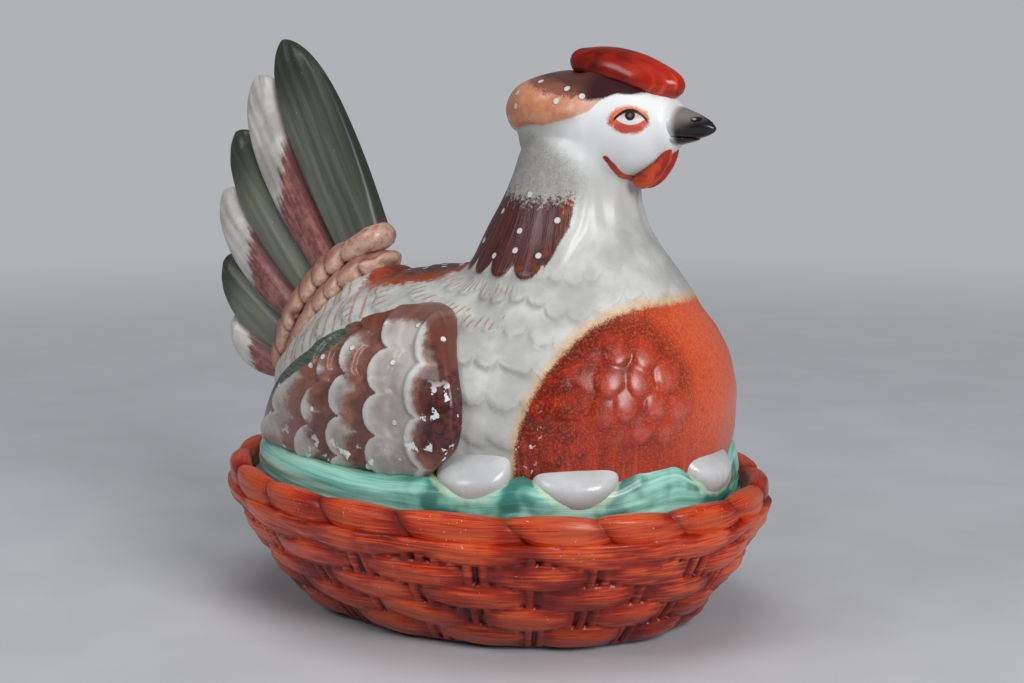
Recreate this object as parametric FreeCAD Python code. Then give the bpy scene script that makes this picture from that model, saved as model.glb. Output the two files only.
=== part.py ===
import FreeCAD, Part
import math
import os

# A hen sitting on a wicker nest: a covered dish of painted porcelain, in two loose pieces.
# The dish is an oval basket. The cover is a hollow hen on a grass bed with eggs round its edge.
# Each clay part that the potter luted on is a solid of its own, a thin slip joint away from the next.
# Millimetres. +X is the way that the hen faces, +Y its left side, +Z up.
# The origin is the middle of the foot ring, on the table.

Vector = FreeCAD.Vector
UP = Vector(0, 0, 1)
LEFT = Vector(0, 1, 0)
AHEAD = Vector(1, 0, 0)
SECTION_POINTS = 12  # points of a closed section curve
WALL_STEPS = 8  # steps up the basket's wall

# Joints between clay parts, and walls
slip_gap = 0.3  # the slip that lutes one clay part to the next
dish_wall = 5.0
dish_floor = 5.0
hen_wall = 5.0

# Dish
rim_length = 222.0  # over the plaited border
rim_width = 180.0
rim_height = 55.0
foot_length = 155.0  # the basket's bottom edge
foot_width = 112.0
foot_ring_height = 1.0
foot_ring_width = 9.0
foot_ring_inset = 4.0
rim_roll_thickness = 7.2
rim_roll_height = 8.5
rim_roll_crown = 2.4  # flat left on top of the roll
lip_inset = 0.9  # the roll stands out this far past the wall below it
strand_rows = 5
strands_in_row = 14
strand_depth = 3.2
loop_depth = 2.8
loop_count = 19
cover_recess = 9.0  # from the rim's crest down to the ledge
ledge_thickness = 4.0

# Cover: its seat, bed and eggs
cover_gap = 3.2  # between the rim roll and the bed
seat_width = 8.5
flange_gap = 1.5
flange_thickness = 4.5
flange_height = 6.0
bed_end_width = 15.5  # from the bed's edge to the opening under the hollow hen, at the two ends
bed_side_width = 24.5
bed_height = 16.0
bed_round = 5.0
egg_half_length = 14.5
egg_half_height = 10.0
egg_rise = 0.8  # of the eggs' middles above the bed's top

# Hen: the body
breast_inset = 2.0  # from the bed's front end back to the breast
tail_inset = 1.5
flank_inset = 13.5
middle_rise = 20.0  # of the body's widest line above the bed's top
body_back_rise = 48.0
body_lower_drop = 65.0  # how far the flanks would run on below that line, through the bed

# Hen: neck and head
neck_sink = 22.0  # how far the neck's foot lies below the top of the back
neck_length = 70.0
neck_half_length = 45.0
neck_half_width = 43.0
neck_setback = 60.5  # of the neck's foot behind the breast
neck_lean = 7.0
head_ahead = 5.0  # of the head's middle before the top of the neck
head_rise = 5.0
head_half_length = 31.0
head_half_width = 19.5
head_half_height = 20.0
crest_setback = 14.0  # behind the head's middle
crest_rise = 7.0
crest_half_length = 20.5
crest_half_width = 19.0
crest_half_height = 12.5
crest_tilt = 10.0
comb_ahead = 11.0
comb_rise = 19.0
comb_half_length = 22.5
comb_half_width = 9.5
comb_half_height = 8.0
comb_tilt = -13.0
beak_reach = 47.0  # of the beak's tip before the head's middle
beak_length = 17.5
beak_rise = 2.0
beak_half_width = 7.5
beak_half_height = 6.0
beak_hook = 1.8  # how far the upper half's tip hooks down
beak_lower_drop = 5.3
beak_lower_rise = 1.4  # how far the lower half climbs towards its tip
beak_lower_length = 14.5
beak_lower_half_width = 6.0
beak_lower_half_height = 2.9
wattle_ahead = 23.4
wattle_drop = 12.0  # below the head's middle
wattle_half_length = 11.0
wattle_half_width = 5.5
wattle_half_thickness = 3.5
wattle_side = 2.4
wattle_tilt = -126.0

# Hen: wings
wing_setback = 63.5  # of the wing's front behind the breast
wing_length = 109.0
wing_rise = 58.5
wing_depth = 8.0

# Hen: tail
covert_ahead = 18.5  # of the inner coverts' middle ahead of the body's tail end
covert_rise = 27.3  # of it above the body's widest line
fan_radius = 95.0  # of the arc that the inner coverts follow
covert_step = 9.0  # from one row of coverts to the next
root_step = 11.0
covert_half_band = 7.0
root_half_band = 12.0
covert_outer_half_thickness = 11.0
covert_inner_half_thickness = 14.0
root_half_thickness = 20.0
covert_start = 114.0  # degrees round the fan's middle, from straight ahead
covert_end = 160.0
feather_tuck = 4.0  # how far the long feathers start inside the outer coverts' middle line
feather_length = 94.0
feather_width = 38.0
feather_root_thickness = 14.0
feather_tip_thickness = 6.0

overrun = 60.0  # how far a cutting solid runs past what it cuts

# Shares along a rounded form, from one end to the other, as an angle's share of a half turn
ROUND_SHARES = (0.02, 0.08, 0.19, 0.34, 0.5, 0.66, 0.81, 0.92, 0.98)

# Body sections from tail to breast: share of the length, of the back's rise and of the half width
BODY_SHARES = (
    (0.0, 0.03, 0.06),
    (0.022, 0.14, 0.25),
    (0.058, 0.30, 0.42),
    (0.115, 0.49, 0.60),
    (0.20, 0.70, 0.78),
    (0.293, 0.875, 0.905),
    (0.398, 0.96, 0.976),
    (0.503, 1.0, 1.0),
    (0.634, 1.02, 1.0),
    (0.738, 1.02, 0.95),
    (0.827, 0.98, 0.87),
    (0.90, 0.86, 0.71),
    (0.953, 0.67, 0.52),
    (0.982, 0.44, 0.32),
    (0.996, 0.20, 0.143),
    (1.0, 0.06, 0.06),
)
lower_taper_share = 0.85  # how closely the flanks' drop follows the half width towards both ends

# Neck sections from the body up: share of the height, of the lean, of the half length, of the half width
NECK_SHARES = (
    (0.0, 0.80, 1.02, 1.0),
    (0.12, 0.66, 0.99, 0.975),
    (0.23, 0.50, 0.93, 0.925),
    (0.314, 0.36, 0.86, 0.85),
    (0.457, 0.10, 0.722, 0.70),
    (0.60, 0.07, 0.60, 0.585),
    (0.771, 0.37, 0.507, 0.50),
    (0.93, 0.76, 0.482, 0.477),
    (1.0, 1.0, 0.478, 0.465),
)

head_bluntness_share = 0.8  # under one, the head's two ends are blunter than an ellipse's

# Beak sections from root to tip: share of the length, of the half width and of the half height
BEAK_SHARES = (
    (0.0, 1.0, 1.0),
    (0.36, 0.86, 0.9),
    (0.66, 0.58, 0.66),
    (0.88, 0.32, 0.38),
    (1.0, 0.10, 0.12),
)

# Round corners: share of the corner's radius that each level lies up it
SHOULDER_SHARES = (0.0, 0.42, 0.7, 0.93)
ROLL_SHARES = (0.0, 0.35, 0.6, 0.8, 0.93, 1.0)

# Wing outline seen from the side: share of the length back from the front, of the rise above the bed
WING_SHARES = (
    (0.0, 0.44),
    (0.01, 0.26),
    (0.06, 0.11),
    (0.17, 0.0),
    (0.38, -0.05),
    (0.62, -0.06),
    (0.86, -0.06),
    (0.985, -0.03),
    (0.965, 0.12),
    (0.90, 0.27),
    (0.82, 0.45),
    (0.72, 0.61),
    (0.58, 0.77),
    (0.42, 0.92),
    (0.29, 0.995),
    (0.19, 0.985),
    (0.12, 0.91),
    (0.07, 0.77),
    (0.025, 0.61),
)

# Tail feathers from the front one down: angles of root and quill, share of the length and of the width
FEATHER_SHARES = (
    (122.4, 117.9, 1.0, 1.03),
    (128.4, 125.2, 0.94, 0.84),
    (135.4, 133.0, 0.82, 0.78),
    (142.6, 142.6, 0.695, 0.76),
    (149.7, 154.6, 0.52, 0.75),
    (156.0, 166.5, 0.38, 0.64),
)
# Along one feather: share of its length, of its width, and how far it has thinned
BLADE_SHARES = (
    (0.0, 0.74, 0.0),
    (0.25, 0.93, 0.3),
    (0.5, 1.0, 0.6),
    (0.72, 0.92, 0.8),
    (0.88, 0.68, 0.92),
    (0.965, 0.38, 1.0),
    (1.0, 0.10, 1.0),
)
blade_fullness_share = 1.6  # how soon a feather's edge reaches its full thickness

# Eggs round the bed: name, angle from straight ahead, share of the way out to its edge, the egg's heading
EGG_SHARES = (
    ("egg_front", 0.0, 0.925, 90.0),
    ("egg_right_1", -41.0, 0.91, 40.0),
    ("egg_right_2", -66.0, 0.875, 15.0),
    ("egg_left_1", 47.0, 0.885, -34.0),
    ("egg_left_2", 70.0, 0.875, -13.0),
)

# Along one wicker strand: share of its length, of its height and of its depth
STRAND_SHARES = (
    (0.0, 0.42, 0.2),
    (0.18, 0.78, 0.72),
    (0.5, 1.0, 1.0),
    (0.82, 0.78, 0.72),
    (1.0, 0.42, 0.2),
)
flare_bow_share = 0.46  # how far the basket's wall bows out of a straight cone
strand_length_share = 0.9  # of the room between two stakes
strand_slope_share = 0.26  # rise of a strand along its length, of its row's height
loop_length_share = 0.94
loop_slope_share = 0.16
loop_height_share = 0.92  # of the rim roll's height


def closed_curve(points):
    """A smooth closed wire through the points, with the same knots on every wire of as many points."""
    curve = Part.BSplineCurve()
    curve.interpolate(Points=points, PeriodicFlag=True, Parameters=list(range(len(points) + 1)))
    return Part.Wire(curve.toShape())


def oval(centre, across, half_across, along, half_along, half_below=None):
    """A closed section round a centre. half_below is its reach downwards, where that differs."""
    half_below = half_along if half_below is None else half_below
    points = []
    for k in range(SECTION_POINTS):
        turn = 2 * math.pi * k / SECTION_POINTS
        reach = half_along if math.sin(turn) >= 0 else half_below
        points.append(centre + across * (half_across * math.cos(turn)) + along * (reach * math.sin(turn)))
    return closed_curve(points)


def skin(sections):
    """A solid through a row of closed sections."""
    return Part.makeLoft(sections, True, False)


def rounded(centre, axis, half_length, across, half_across, up, half_up, fullness=1.0):
    """An egg-like solid along an axis. A fullness under one makes its ends blunter."""
    sections = []
    for share in ROUND_SHARES:
        turn = math.pi * share
        reach = math.sin(turn) ** fullness
        middle = centre - axis * (half_length * math.cos(turn))
        sections.append(oval(middle, across, half_across * reach, up, half_up * reach))
    return skin(sections)


def flat_oval(half_length, half_width, height):
    """A level ellipse round the origin's axis, its long way along X."""
    return Part.Wire(Part.Ellipse(UP * height, half_length, half_width).toShape())


def stack(ovals):
    """A solid through level ellipses, each given as half length, half width and height."""
    return skin([flat_oval(*one) for one in ovals])


def upright_oval(half_length, half_width):
    """A tall oval prism right through the dish, as a cutter."""
    return stack([(half_length, half_width, -overrun), (half_length, half_width, rim_height + overrun)])


def block(low, high):
    """A box between two corners, as a cutter."""
    size = high - low
    return Part.makeBox(size.x, size.y, size.z, low)


def tilted(degrees):
    """Directions along and square to a line in the hen's middle plane, raised by an angle."""
    turn = math.radians(degrees)
    along = Vector(math.cos(turn), 0, math.sin(turn))
    return along, LEFT.cross(along) * -1


def without(solid, *cutters):
    """The solid with the cutters taken out of it."""
    for cutter in cutters:
        solid = solid.cut(cutter)
    return solid


def largest(shape):
    """The largest solid of a cut shape, without the crumbs."""
    return max(shape.Solids, key=lambda one: one.Volume)


def save(name, shape):
    """Writes one named part and prints what it holds."""
    shape.exportStep(os.path.join("parts", name + ".step"))
    print(f"{name}: {len(shape.Solids)} solid(s), {shape.Volume:.0f} mm3, valid {shape.isValid()}")


# The basket


roll_outer_half_length = rim_length / 2 - loop_depth - slip_gap
roll_outer_half_width = rim_width / 2 - loop_depth - slip_gap
roll_inner_half_length = roll_outer_half_length - rim_roll_thickness
roll_inner_half_width = roll_outer_half_width - rim_roll_thickness
lip_height = rim_height - rim_roll_height
ledge_height = rim_height - cover_recess
bed_half_length = roll_inner_half_length - cover_gap
bed_half_width = roll_inner_half_width - cover_gap
bed_top = ledge_height + bed_height
bed_opening_half_length = bed_half_length - bed_end_width
bed_opening_half_width = bed_half_width - bed_side_width


def wall_half_sizes(height):
    """Half length and half width of the bowl's outside at a height."""
    share = (height - foot_ring_height) / (lip_height - foot_ring_height)
    spread = share * (1 + flare_bow_share * (1 - share))
    lip_half_length = roll_outer_half_length - lip_inset
    lip_half_width = roll_outer_half_width - lip_inset
    half_length = foot_length / 2 + (lip_half_length - foot_length / 2) * spread
    half_width = foot_width / 2 + (lip_half_width - foot_width / 2) * spread
    return half_length, half_width


def wall_levels(low, high, steps, inset):
    """Level ellipses up the wall, set in from its outside."""
    levels = []
    for k in range(steps + 1):
        height = low + (high - low) * k / steps
        half_length, half_width = wall_half_sizes(height)
        levels.append((half_length - inset, half_width - inset, height))
    return levels


def basket_bowl():
    """Wall and floor of the basket, smooth inside and open at the lip."""
    outside = stack(wall_levels(foot_ring_height, lip_height, WALL_STEPS, 0.0))
    levels = wall_levels(foot_ring_height + dish_floor, lip_height, WALL_STEPS, dish_wall)
    half_length, half_width, top = levels[-1]
    above = stack([(half_length, half_width, top), (half_length, half_width, top + overrun)])
    return without(outside, stack(levels), above)


def foot_ring():
    """The ring that the dish stands on."""
    half_length = foot_length / 2 - foot_ring_inset
    half_width = foot_width / 2 - foot_ring_inset
    outside = stack([(half_length, half_width, 0.0), (half_length, half_width, foot_ring_height)])
    return outside.cut(upright_oval(half_length - foot_ring_width, half_width - foot_ring_width))


def strand(start, sweep, middle_height, half_height, slope, depth, face):
    """One wicker strand bent round the oval. face gives half sizes of the surface behind it at a height."""
    sections = []
    for along_share, height_share, depth_share in STRAND_SHARES:
        turn = start + sweep * along_share
        height = middle_height + slope * (along_share - 0.5)
        rise = half_height * height_share
        bulge = depth * depth_share
        corners = []
        for step, out in ((-rise, 0.0), (0.0, bulge), (rise, 0.0)):
            half_length, half_width = face(height + step)
            x = (half_length + slip_gap + out) * math.cos(turn)
            y = (half_width + slip_gap + out) * math.sin(turn)
            corners.append(Vector(x, y, height + step))
        edges = [Part.Arc(*corners).toShape(), Part.LineSegment(corners[2], corners[0]).toShape()]
        sections.append(Part.Wire(edges))
    return skin(sections)


def weave_row(row):
    """One course of wicker strands, set half a strand on from the course below."""
    row_height = (lip_height - foot_ring_height) / strand_rows
    middle = foot_ring_height + row_height * (row + 0.5)
    half_height = row_height / 2 - slip_gap
    room = 2 * math.pi / strands_in_row
    sweep = room * strand_length_share
    slope = row_height * strand_slope_share
    strands = []
    for k in range(strands_in_row):
        start = room * (k + 0.5 * (row % 2))
        strands.append(strand(start, sweep, middle, half_height, slope, strand_depth, wall_half_sizes))
    return Part.makeCompound(strands)


def rim_roll():
    """The rolled edge on top of the wall: a round-backed ring with a narrow flat crown."""
    half_crown = rim_roll_crown / 2
    half_thickness = rim_roll_thickness / 2
    middle_length = roll_outer_half_length - half_thickness
    middle_width = roll_outer_half_width - half_thickness
    outside, inside = [], []
    for share in ROLL_SHARES:
        reach = half_crown + (half_thickness - half_crown) * math.sqrt(1 - share**2)
        height = lip_height + rim_roll_height * share
        outside.append((middle_length + reach, middle_width + reach, height))
        inside.append((middle_length - reach, middle_width - reach, height))
    return stack(outside).cut(stack(inside))


def rim_face(height):
    """Half sizes of the upright face that the border's loops lie on."""
    return roll_outer_half_length, roll_outer_half_width


def rim_loops():
    """The plaited border, loop by loop round the roll."""
    room = 2 * math.pi / loop_count
    sweep = room * loop_length_share
    middle = lip_height + rim_roll_height / 2
    slope = rim_roll_height * loop_slope_share
    half_height = (rim_roll_height * loop_height_share - slope) / 2
    loops = []
    for k in range(loop_count):
        loops.append(strand(room * k, sweep, middle, half_height, slope, loop_depth, rim_face))
    return Part.makeCompound(loops)


def cover_ledge():
    """The gallery inside the wall that the cover rests on."""
    low = ledge_height - ledge_thickness
    outside = stack(wall_levels(low, ledge_height, 1, dish_wall + slip_gap))
    return outside.cut(upright_oval(bed_half_length - seat_width, bed_half_width - seat_width))


# The bed, its flange and the eggs


body_tail_x = tail_inset - bed_half_length
body_breast_x = bed_half_length - breast_inset
body_half_width = bed_half_width - flank_inset
body_middle_height = bed_top + middle_rise  # height of the widest line


def hen_body_form(grow):
    """The body's rounded form, grown outwards all round."""
    sections = []
    length = body_breast_x - body_tail_x
    for along_share, rise_share, width_share in BODY_SHARES:
        x = body_tail_x - grow + (length + 2 * grow) * along_share
        half_width = body_half_width * width_share + grow
        rise = body_back_rise * rise_share + grow
        drop = body_lower_drop * width_share**lower_taper_share + grow
        centre = Vector(x, 0, body_middle_height)
        sections.append(oval(centre, LEFT, half_width, UP, rise, drop))
    return skin(sections)


def body_hollow():
    """The space inside the body, open below."""
    sections = []
    length = body_breast_x - body_tail_x - 2 * hen_wall
    for along_share, rise_share, width_share in BODY_SHARES:
        x = body_tail_x + hen_wall + length * along_share
        half_width = (body_half_width - hen_wall) * width_share
        rise = (body_back_rise - hen_wall) * rise_share
        drop = body_lower_drop * width_share**lower_taper_share
        centre = Vector(x, 0, body_middle_height)
        sections.append(oval(centre, LEFT, half_width, UP, rise, drop))
    return skin(sections)


def egg_form(angle, out_share, heading, grow):
    """One egg on the bed's edge."""
    place = math.radians(angle)
    x = bed_half_length * out_share * math.cos(place)
    y = bed_half_width * out_share * math.sin(place)
    turn = math.radians(heading)
    axis = Vector(math.cos(turn), math.sin(turn), 0)
    across = UP.cross(axis)
    reach = egg_half_height + grow
    return rounded(Vector(x, y, bed_top + egg_rise), axis, egg_half_length + grow, across, reach, UP, reach)


def nest_bed(eggs):
    """The grass bed: an oval collar with a rounded shoulder, pocketed for the eggs."""
    shoulder = bed_top - bed_round
    levels = [(bed_half_length, bed_half_width, ledge_height), (bed_half_length, bed_half_width, shoulder)]
    rounded_levels = []
    for share in SHOULDER_SHARES:
        inset = bed_round * (1 - math.sqrt(1 - share**2))
        height = shoulder + bed_round * share / SHOULDER_SHARES[-1]
        rounded_levels.append((bed_half_length - inset, bed_half_width - inset, height))
    collar = stack(levels).fuse(stack(rounded_levels)).removeSplitter()
    opening = upright_oval(bed_opening_half_length, bed_opening_half_width)
    return largest(without(collar, opening, *eggs))


def cover_flange():
    """The locating flange that drops inside the ledge."""
    half_length = bed_half_length - seat_width - flange_gap
    half_width = bed_half_width - seat_width - flange_gap
    low = ledge_height - flange_height
    outside = stack([(half_length, half_width, low), (half_length, half_width, ledge_height)])
    return outside.cut(upright_oval(half_length - flange_thickness, half_width - flange_thickness))


# The hen


neck_x = body_breast_x - neck_setback
neck_base_height = body_middle_height + body_back_rise - neck_sink
neck_top_height = neck_base_height + neck_length
head_x = neck_x + neck_lean + head_ahead
head_height = neck_top_height + head_rise
beak_height = head_height + beak_rise
wing_front_x = body_breast_x - wing_setback
covert_middle = math.radians((covert_start + covert_end) / 2)
fan_x = body_tail_x + covert_ahead - fan_radius * math.cos(covert_middle)
fan_height = body_middle_height + covert_rise - fan_radius * math.sin(covert_middle)
covert_outer_radius = fan_radius + covert_step
root_radius = fan_radius - root_step
feather_base_radius = covert_outer_radius - feather_tuck


def above_bed(solid):
    """What of a solid stands above the bed's top."""
    low = Vector(-rim_length, -rim_length, bed_top)
    high = Vector(rim_length, rim_length, bed_top + rim_length + overrun)
    return solid.common(block(low, high))


def neck_form(grow):
    """The neck's form from inside the body to inside the head."""
    sections = []
    for up_share, lean_share, length_share, width_share in NECK_SHARES:
        centre = Vector(neck_x + neck_lean * lean_share, 0, neck_base_height + neck_length * up_share)
        half_length = neck_half_length * length_share + grow
        half_width = neck_half_width * width_share + grow
        sections.append(oval(centre, AHEAD, half_length, LEFT, half_width))
    return skin(sections)


def head_form(grow):
    """The head's form."""
    centre = Vector(head_x, 0, head_height)
    half_height = head_half_height + grow
    half_width = head_half_width + grow
    half_length = head_half_length + grow
    return rounded(centre, AHEAD, half_length, LEFT, half_width, UP, half_height, head_bluntness_share)


def crest_form(grow):
    """The crest behind the comb."""
    along, square = tilted(crest_tilt)
    centre = Vector(head_x - crest_setback, 0, head_height + crest_rise)
    half_length = crest_half_length + grow
    half_height = crest_half_height + grow
    return rounded(centre, along, half_length, LEFT, crest_half_width + grow, square, half_height)


def comb_form():
    """The smooth cap of the comb."""
    along, square = tilted(comb_tilt)
    centre = Vector(head_x + comb_ahead, 0, head_height + comb_rise)
    return rounded(centre, along, comb_half_length, LEFT, comb_half_width, square, comb_half_height)


def beak_half(length, half_width, half_height, root_drop, tip_drop, grow):
    """One half of the beak, from its root inside the head to its tip."""
    sections = []
    root_x = head_x + beak_reach - beak_length
    for along_share, width_share, height_share in BEAK_SHARES:
        drop = root_drop + (tip_drop - root_drop) * along_share
        centre = Vector(root_x + length * along_share, 0, beak_height - drop)
        across = half_width * width_share + grow
        sections.append(oval(centre, LEFT, across, UP, half_height * height_share + grow))
    return skin(sections)


def beak_upper_form(grow):
    """The upper half of the beak."""
    return beak_half(beak_length, beak_half_width, beak_half_height, 0.0, beak_hook, grow)


def beak_lower_form(grow):
    """The lower half of the beak, tucked up under the upper one."""
    tip_drop = beak_lower_drop - beak_lower_rise
    half_height = beak_lower_half_height
    return beak_half(beak_lower_length, beak_lower_half_width, half_height, beak_lower_drop, tip_drop, grow)


def wattle_form(side):
    """One wattle hanging beside the chin."""
    along, square = tilted(wattle_tilt)
    centre = Vector(head_x + wattle_ahead, wattle_side * side, head_height - wattle_drop)
    flap = rounded(centre, along, wattle_half_length, LEFT, wattle_half_thickness, square, wattle_half_width)
    past_middle = sorted((slip_gap / 2 * side, -overrun * side))
    low = Vector(-rim_length, past_middle[0], 0)
    return flap.cut(block(low, Vector(rim_length, past_middle[1], rim_length + overrun)))


def wing_form(side, outer, inner):
    """A wing: the part of a thick skin on the body that lies inside the wing's outline."""
    points = []
    for back_share, rise_share in WING_SHARES:
        points.append(Vector(wing_front_x - wing_length * back_share, 0, bed_top + wing_rise * rise_share))
    outline = Part.Face(closed_curve(points))
    slab = outline.extrude(LEFT * (side * (body_half_width + overrun)))
    return largest(above_bed(slab.common(outer).cut(inner)))


def fan_point(radius, angle):
    """A point of the tail's plane, by its distance and angle from the fan's middle."""
    turn = math.radians(angle)
    return Vector(fan_x + radius * math.cos(turn), 0, fan_height + radius * math.sin(turn))


def fan_band(radius, half_band, half_thickness, grow):
    """A sausage along one of the fan's arcs."""
    sections = []
    middle_angle = (covert_start + covert_end) / 2
    half_sweep = (covert_end - covert_start) / 2 + math.degrees(grow / radius)
    for share in ROUND_SHARES:
        angle = middle_angle - half_sweep * math.cos(math.pi * share)
        reach = math.sqrt(math.sin(math.pi * share))
        centre = fan_point(radius, angle)
        outwards = (centre - fan_point(0.0, angle)).normalize()
        across = (half_thickness + grow) * reach
        sections.append(oval(centre, LEFT, across, outwards, (half_band + grow) * reach))
    return skin(sections)


def feather_form(root_angle, quill_angle, length_share, width_share, grow):
    """One long feather of the fan, thick at its root and thin at its tip."""
    along, square = tilted(quill_angle)
    root = fan_point(feather_base_radius, root_angle)
    sections = []
    for blade_share, blade_width, thinned in BLADE_SHARES:
        centre = root + along * ((feather_length * length_share + grow) * blade_share)
        thickness = feather_root_thickness + (feather_tip_thickness - feather_root_thickness) * thinned
        half_width = feather_width / 2 * width_share * blade_width + grow
        taper = min(1.0, blade_width * blade_fullness_share)
        sections.append(oval(centre, LEFT, thickness / 2 * taper + grow, square, half_width))
    return skin(sections)


def tail():
    """Root, two rows of coverts and six long feathers, each cut back from what lies over it."""
    body = hen_body_form(slip_gap)
    parts = {}
    root = fan_band(root_radius, root_half_band, root_half_thickness, 0.0)
    inner = fan_band(fan_radius, covert_half_band, covert_inner_half_thickness, 0.0)
    outer = fan_band(covert_outer_radius, covert_half_band, covert_outer_half_thickness, 0.0)
    inner_grown = fan_band(fan_radius, covert_half_band, covert_inner_half_thickness, slip_gap)
    outer_grown = fan_band(covert_outer_radius, covert_half_band, covert_outer_half_thickness, slip_gap)
    parts["tail_root"] = largest(without(root, body, inner_grown))
    parts["covert_row_inner"] = largest(without(inner, body))
    parts["covert_row_outer"] = largest(without(outer, body, inner_grown))
    before = []
    for number, place in enumerate(FEATHER_SHARES, 1):
        feather = without(feather_form(*place, 0.0), body, inner_grown, outer_grown, *before[-2:])
        parts[f"tail_feather_{number}"] = largest(feather)
        before.append(feather_form(*place, slip_gap))
    return parts


def hollow_hen():
    """Body, neck and head, each a shell that opens into the next."""
    neck_hollow = neck_form(-hen_wall)
    body = without(above_bed(hen_body_form(0.0)), body_hollow(), neck_hollow)
    neck = without(neck_form(0.0), hen_body_form(slip_gap), head_form(slip_gap), neck_hollow)
    head = without(head_form(0.0), head_form(-hen_wall), neck_hollow)
    return {"hen_body": largest(body), "neck": largest(neck), "head": largest(head)}


def face():
    """Crest, comb, beak and wattles, each cut back from what it is luted to."""
    head = head_form(slip_gap)
    beak_upper = beak_upper_form(slip_gap)
    parts = {
        "crest": without(crest_form(0.0), head, neck_form(slip_gap)),
        "comb": without(comb_form(), head, crest_form(slip_gap)),
        "beak_upper": without(beak_upper_form(0.0), head),
        "beak_lower": without(beak_lower_form(0.0), head, beak_upper),
    }
    for name, side in (("right", -1), ("left", 1)):
        parts[f"wattle_{name}"] = without(wattle_form(side), head, beak_upper, beak_lower_form(slip_gap))
    return {name: largest(shape) for name, shape in parts.items()}


def nest():
    """Bed, flange, eggs, and the wings that the eggs press into."""
    body = hen_body_form(slip_gap)
    over_wing = hen_body_form(wing_depth)
    eggs = [egg_form(*place, slip_gap) for _, *place in EGG_SHARES]
    parts = {"nest_bed": nest_bed(eggs), "cover_flange": cover_flange()}
    for name, *place in EGG_SHARES:
        parts[name] = largest(egg_form(*place, 0.0).cut(body))
    for name, side in (("right", -1), ("left", 1)):
        parts[f"wing_{name}"] = largest(without(wing_form(side, over_wing, body), *eggs))
    return parts


def dish():
    """Every part of the basket."""
    parts = {
        "foot_ring": foot_ring(),
        "basket_bowl": basket_bowl(),
        "rim_roll": rim_roll(),
        "rim_loops": rim_loops(),
        "cover_ledge": cover_ledge(),
    }
    for row in range(strand_rows):
        parts[f"weave_row_{row + 1}"] = weave_row(row)
    return parts


os.makedirs("parts", exist_ok=True)
for part_name, part_shape in {**dish(), **nest(), **hollow_hen(), **face(), **tail()}.items():
    save(part_name, part_shape)
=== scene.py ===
# %% [markdown]
# # A hen on her nest, in painted porcelain
# The object is a covered dish. Its lower half is a wicker basket pressed from clay, and its cover is a hollow
# hen sitting on green grass with eggs round her. The solids already hold the sizes of every clay part.
# This lesson gives them what the mould and the brush gave the real ones: feathers, wicker and paint.

# %% Load the model and note its box
import heapq
import math

import bmesh
import bpy
import numpy as np
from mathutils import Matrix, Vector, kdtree


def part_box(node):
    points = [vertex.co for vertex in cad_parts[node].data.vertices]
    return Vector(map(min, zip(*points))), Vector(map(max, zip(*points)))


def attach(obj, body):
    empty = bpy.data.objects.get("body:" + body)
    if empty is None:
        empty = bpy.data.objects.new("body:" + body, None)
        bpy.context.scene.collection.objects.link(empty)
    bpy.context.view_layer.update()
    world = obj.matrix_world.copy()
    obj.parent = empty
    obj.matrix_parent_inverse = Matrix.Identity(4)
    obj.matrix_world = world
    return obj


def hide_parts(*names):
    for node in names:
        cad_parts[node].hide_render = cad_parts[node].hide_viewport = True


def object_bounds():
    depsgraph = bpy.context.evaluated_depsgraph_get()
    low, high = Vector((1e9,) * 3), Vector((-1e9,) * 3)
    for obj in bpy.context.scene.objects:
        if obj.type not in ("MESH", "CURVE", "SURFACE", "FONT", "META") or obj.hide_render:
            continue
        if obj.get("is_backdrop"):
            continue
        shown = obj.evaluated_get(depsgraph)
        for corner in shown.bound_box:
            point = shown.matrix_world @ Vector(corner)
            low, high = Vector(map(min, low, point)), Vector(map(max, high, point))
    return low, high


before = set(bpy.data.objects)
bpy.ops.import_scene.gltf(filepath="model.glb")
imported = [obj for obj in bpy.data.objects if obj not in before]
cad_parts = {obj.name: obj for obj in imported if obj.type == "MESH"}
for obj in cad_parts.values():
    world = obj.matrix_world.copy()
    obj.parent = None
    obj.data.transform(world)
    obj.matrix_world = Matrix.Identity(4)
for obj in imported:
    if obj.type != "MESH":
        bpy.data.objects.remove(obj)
cad_box = [list(corner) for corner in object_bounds()]
MM = 0.001
print("CAD box in mm:", [[round(value / MM, 1) for value in corner] for corner in cad_box])

# %% [markdown]
# ## The camera
# The camera comes first, so that every later choice can be judged through it. It stands as the photographer's
# did: to the front and the hen's right, a little above her back, with a long lens that keeps her upright.

# %% Camera
camera_place = (0.4015, -0.5734, 0.2124)  # metres
camera_pitch, camera_heading = 9.08, 34.40  # degrees down, and left of straight across the hen
sensor_width, lens_length = 36.0, 65.6
camera_lens = bpy.data.cameras.new("camera")
camera_lens.sensor_width = sensor_width
camera_lens.lens = lens_length
camera_lens.clip_start = 0.01
camera = bpy.data.objects.new("camera", camera_lens)
camera.location = camera_place
camera.rotation_euler = (math.radians(90 - camera_pitch), 0, math.radians(camera_heading))
bpy.context.collection.objects.link(camera)
bpy.context.scene.camera = camera
print("Camera stands", round(camera.location.length, 3), "m from the foot ring's middle")

# %% [markdown]
# ## Shader maths as sums
# A glaze is mostly masks: where brown stops, where a chip shows, how a brush stroke fades. Such masks are
# sums and products, so one small class lets them be written as sums. Each operator adds a Math node.
# Colours go through Mix nodes, because a Math node would turn them grey.

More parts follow.
